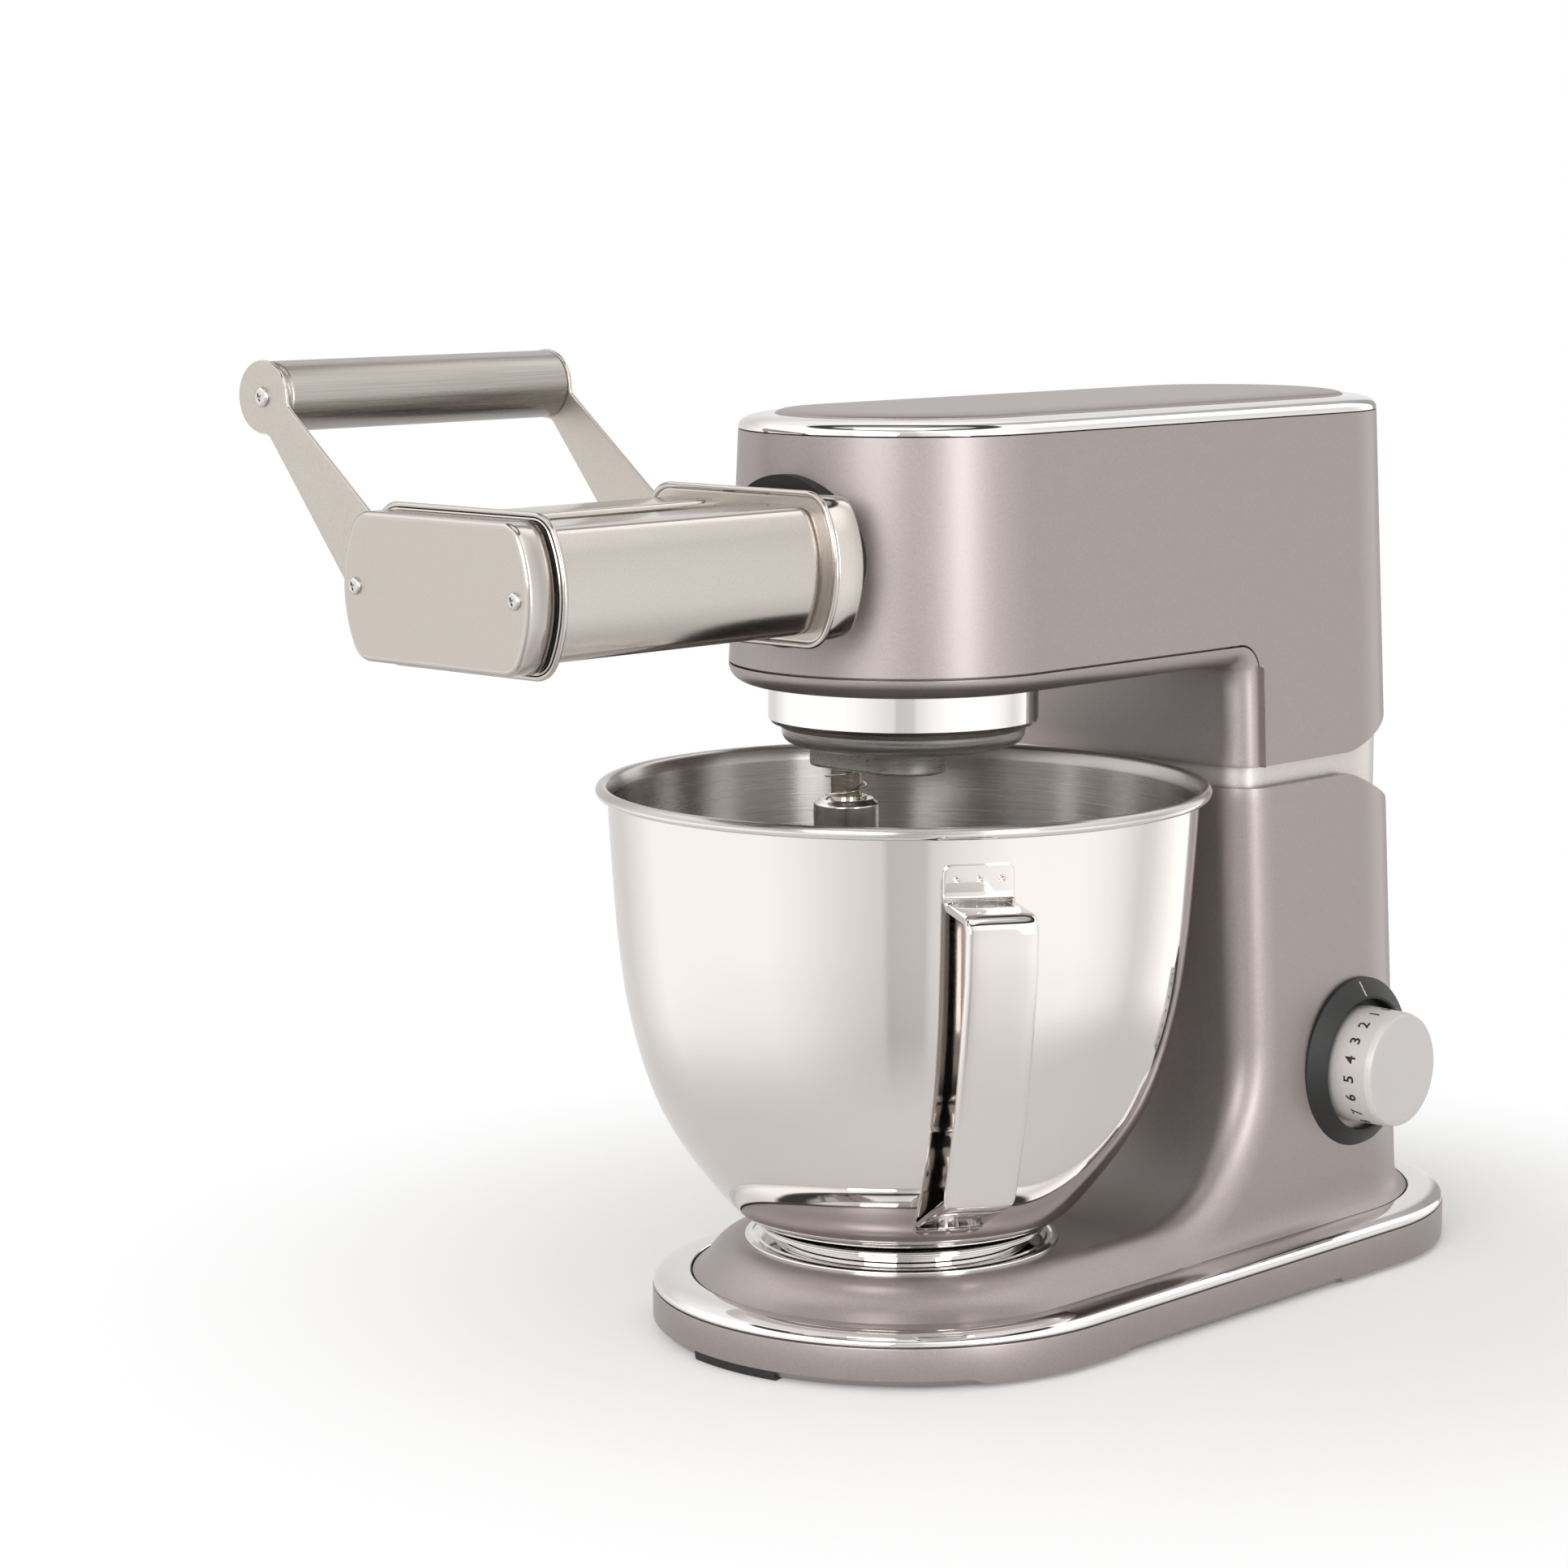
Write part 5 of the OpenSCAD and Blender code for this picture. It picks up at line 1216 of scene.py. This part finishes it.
def arm(y0):
    """A flat arm with a round eye, from its screw to the tube's axis, with its near face at y0."""
    y1 = y0 + ARM_T

    def outline(inset):
        r, neck, f = EYE_R - inset, ARM_NECK - inset, 5.0 + inset
        cx, cy = ARM_LEN - sqrt((r + f) ** 2 - (neck + f) ** 2), neck + f
        a = degrees(atan2(cy, ARM_LEN - cx))
        upper = arc(cx, cy, f, 270, 360 - a, 8)
        eye = arc(ARM_LEN, 0, r, 180 - a, -(180 - a), 48)
        foot = arc(0, 0, ARM_FOOT - inset, 270 - 5.2, 90 + 5.2, 24)
        return foot + upper + eye[1:-1] + [(x, -y) for x, y in upper[::-1]]

    rows = [[(x, y, z) for x, z in outline(inset)] for inset, y in (
        (1.2, y0), (0.4, y0), (0.12, y0 + 0.12), (0.0, y0 + 0.4),
        (0.0, y1 - 0.4), (0.12, y1 - 0.12), (0.4, y1), (1.2, y1))]
    form = Form().skin(rows[:2], around=True).skin(rows[1:-1], around=True, finish=1)
    form.skin(rows[-2:], around=True).face(rows[0]).face(rows[-1])
    return form.move(shift(-SCREW_X, 0, AXIS_Z) @ swing(ARM_ANGLE - 180, "Y"))


def handle_tube():
    """The round tube between the arms."""
    long = TUBE_Y1 - TUBE_Y0
    return turned(rounded([(0, 0), (TUBE_R - 0.5, 0, 0.2), (TUBE_R, 0.6, 0.5),
                           (TUBE_R, long - 2.6, 2.4), (TUBE_R - 2.4, long, 1.6), (0, long)]),
                  128).move(about_y(EYE_X, TUBE_Y1, EYE_Z))


arms = arm(TUBE_Y0 - ARM_T).join(arm(TUBE_Y1))
piece("handle_arm_pair", arms, "handle", [BLASTED, SATIN], ["handle_arms"])
piece("handle_grip_tube", handle_tube(), "handle", TUBE, ["handle_tube"], crease=35)
heads, slots = screw_pair(EYE_X, EYE_Z, TUBE_Y0 - ARM_T, TUBE_Y0 + 11, TUBE_Y1 - 11,
                          TUBE_Y1 + ARM_T + 0.6, TUBE_Y1 + ARM_T, 3.7, 1.9)
piece("handle_end_screws", heads, "handle", GROUND, ["handle_screws"],
      holes=slots)


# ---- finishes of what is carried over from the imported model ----

for part in frame["record"]["subparts"]:
    kept = frame["nodes"][part["node"]].data
    roller = part["node"] in ("drive_roller", "idle_roller")
    kept.materials.clear()
    kept.materials.append(ROLLER if roller else FINISH_OF[part["material_slot"]])


# ---- floor, light and camera ----

WHITE = (1, 1, 1, 1)
PAPER_GLOW = 0.21     # how much the paper under the machine is lit by its own white sweep
ROOM_LIGHT = 1.5      # strength of the brightest panels that metal sees
FILL_LIGHT = 0.5      # strength of the even light from all round
WARM = (1, 0.985, 0.97)
VIEWER_TURN = 0.38    # share of a turn that brings the viewer's side halfway round ROOM


def floor():
    """A pale sweep of paper: white to the eye, with the soft shadow of what stands on it.
    Metal sees the paper near the machine, and the studio beyond it."""
    mesh = bpy.data.meshes.new("floor")
    mesh.from_pydata([(x, y, -0.0002) for x, y in ((-9, -9), (9, -9), (9, 9), (-9, 9))], [],
                     [(0, 1, 2, 3)])
    thing = bpy.data.objects.new("floor", mesh)
    bpy.context.scene.collection.objects.link(thing)
    material = bpy.data.materials.new("white_paper")
    material.use_nodes = True
    tree = material.node_tree
    tree.nodes.clear()
    place = add(tree, "TexCoord").outputs["Object"]
    off = add(tree, "VectorMath", {0: place, 1: (0.0, 0.1, 0.0)}, operation="SUBTRACT")
    away = add(tree, "VectorMath", {0: off}, operation="LENGTH").outputs["Value"]
    far = add(tree, "MapRange", {"Value": away, "From Min": 0.17, "From Max": 0.42},
              interpolation_type="SMOOTHSTEP")
    near = add(tree, "MapRange", {"Value": away, "From Min": 0.26, "From Max": 0.46},
               interpolation_type="SMOOTHSTEP")
    paper = add(tree, "BsdfDiffuse", {"Color": ink("F4F3F2")})
    glow = add(tree, "Emission", {"Color": WHITE, "Strength": PAPER_GLOW})
    both = add(tree, "AddShader", {0: paper, 1: glow})
    white = add(tree, "Emission", {"Color": WHITE, "Strength": 1.0})
    clear = add(tree, "BsdfTransparent")
    ray = add(tree, "LightPath").outputs
    eye = add(tree, "MixShader", {0: far, 1: both, 2: white})
    metal = add(tree, "MixShader", {0: near, 1: both, 2: clear})
    one = add(tree, "MixShader", {0: ray["Is Camera Ray"], 1: paper, 2: eye})
    two = add(tree, "MixShader", {0: ray["Is Glossy Ray"], 1: one, 2: metal})
    add(tree, "OutputMaterial", {"Surface": two})
    mesh.materials.append(material)


# How bright the studio is once round, from behind the machine (0) past its left to the
# viewer's side (0.5) and past its right back to 1, as shares of the brightest panels
ROOM = [(0.0, 0.6), (0.04, 0.56), (0.1, 0.6), (0.14, 0.76), (0.18, 0.93), (0.34, 0.94), (0.38, 0.87),
        (0.42, 0.76), (0.45, 0.69), (0.474, 0.64), (0.48, 0.5), (0.52, 0.53), (0.526, 0.66),
        (0.56, 0.8), (0.62, 0.96), (0.7, 0.96), (0.74, 0.88), (0.766, 0.78), (0.79, 0.66), (0.81, 0.7),
        (0.835, 0.84), (0.865, 0.98), (0.9, 0.98), (0.91, 0.3), (0.95, 0.3), (0.96, 0.62)]
# ... and from the ground (0) past the horizon (0.5) to the zenith (1): bright panels, a dark
# gap above them, and the grey ceiling
ROOM_HEIGHT = [(0.075, 0.6), (0.35, 1.0), (0.68, 0.95), (0.78, 1.3), (0.895, 1.3), (0.905, 0.05),
               (0.945, 0.05), (0.955, 0.5), (1.0, 0.6)]


def studio():
    """Soft surround: white for the eye, and for metal a room of white panels with a grey gap
    at the viewer's place and dark flags to the right."""
    world = bpy.data.worlds.new("studio")
    bpy.context.scene.world = world
    world.use_nodes = True
    tree = world.node_tree
    tree.nodes.clear()
    split = add(tree, "SeparateXYZ", {"Vector": add(tree, "TexCoord").outputs["Generated"]}).outputs
    front = add(tree, "Math", {0: split["Y"], 1: -1.0}, operation="MULTIPLY")
    turn = add(tree, "Math", {0: split["X"], 1: front}, operation="ARCTAN2")
    once = add(tree, "Math", {0: turn, 1: 2 * pi}, operation="DIVIDE")
    share = add(tree, "Math", {0: once, 1: VIEWER_TURN}, operation="ADD")
    share = add(tree, "Math", {0: share, 1: 1.0}, operation="FLOORED_MODULO")
    ramp = add(tree, "ValToRGB", {"Fac": share},
               stops=[(at, [tone * part for part in WARM] + [1]) for at, tone in ROOM])
    height = add(tree, "MapRange", {"Value": split["Z"], "From Min": -1.0, "To Min": 0.0})
    level = add(tree, "ValToRGB", {"Fac": height},
                stops=[(at, (tone, tone, tone, 1)) for at, tone in ROOM_HEIGHT])
    level = add(tree, "Math", {0: level, 1: ROOM_LIGHT}, operation="MULTIPLY")
    room = add(tree, "Background", {"Color": ramp.outputs["Color"], "Strength": level})
    paper = add(tree, "Background", {"Color": WHITE, "Strength": 1.0})
    fill = add(tree, "Background", {"Color": (*WARM, 1), "Strength": FILL_LIGHT})
    ray = add(tree, "LightPath").outputs
    lit = add(tree, "MixShader", {0: ray["Is Glossy Ray"], 1: fill, 2: room})
    straight = add(tree, "Math", {0: ray["Is Camera Ray"], 1: ray["Is Transmission Ray"]},
                   operation="MAXIMUM")
    seen = add(tree, "MixShader", {0: straight, 1: lit, 2: paper})
    add(tree, "OutputWorld", {"Surface": seen})


def panel(name, spot, aim, size, watts, shine_only=False):
    """A white soft box at spot, turned towards aim, both in metres. A shine_only one draws its
    highlight on metal and lacquer and lights nothing else."""
    lamp = bpy.data.lights.new(name, "AREA")
    lamp.shape, lamp.size, lamp.size_y = "RECTANGLE", size[0], size[1]
    lamp.energy = watts
    thing = bpy.data.objects.new(name, lamp)
    thing.location = spot
    thing.rotation_euler = (Vector(aim) - Vector(spot)).to_track_quat("-Z", "Y").to_euler()
    thing.visible_diffuse = not shine_only
    bpy.context.scene.collection.objects.link(thing)


def camera():
    """The viewer's camera, in metres, with its own right and up."""
    lens = bpy.data.cameras.new("camera")
    lens.lens, lens.sensor_width, lens.sensor_fit = 93.35, 36.0, "HORIZONTAL"
    lens.clip_start, lens.clip_end = 0.05, 50
    thing = bpy.data.objects.new("camera", lens)
    right, up = Vector((0.728146, 0.685422, -0.001115)), Vector((-0.097898, 0.105609, 0.989577))
    back = right.cross(up)
    turn = Matrix((right, up, back)).transposed().to_4x4()
    thing.matrix_world = Matrix.Translation((1.042118, -1.174477, 0.443776)) @ turn
    bpy.context.scene.collection.objects.link(thing)
    bpy.context.scene.camera = thing


floor()
studio()
panel("front_soft_box", (0.85, -2.05, 0.95), (0, 0.05, 0.2), (1.2, 1.0), 22)
panel("top_soft_box", (0.2, -0.4, 2.4), (0, 0.0, 0.2), (1.4, 1.4), 5)
panel("right_strip_box", (2.0, -0.35, 0.6), (0, 0.1, 0.2), (0.5, 1.1), 12, shine_only=True)
camera()
bpy.context.scene.view_settings.view_transform = "Standard"
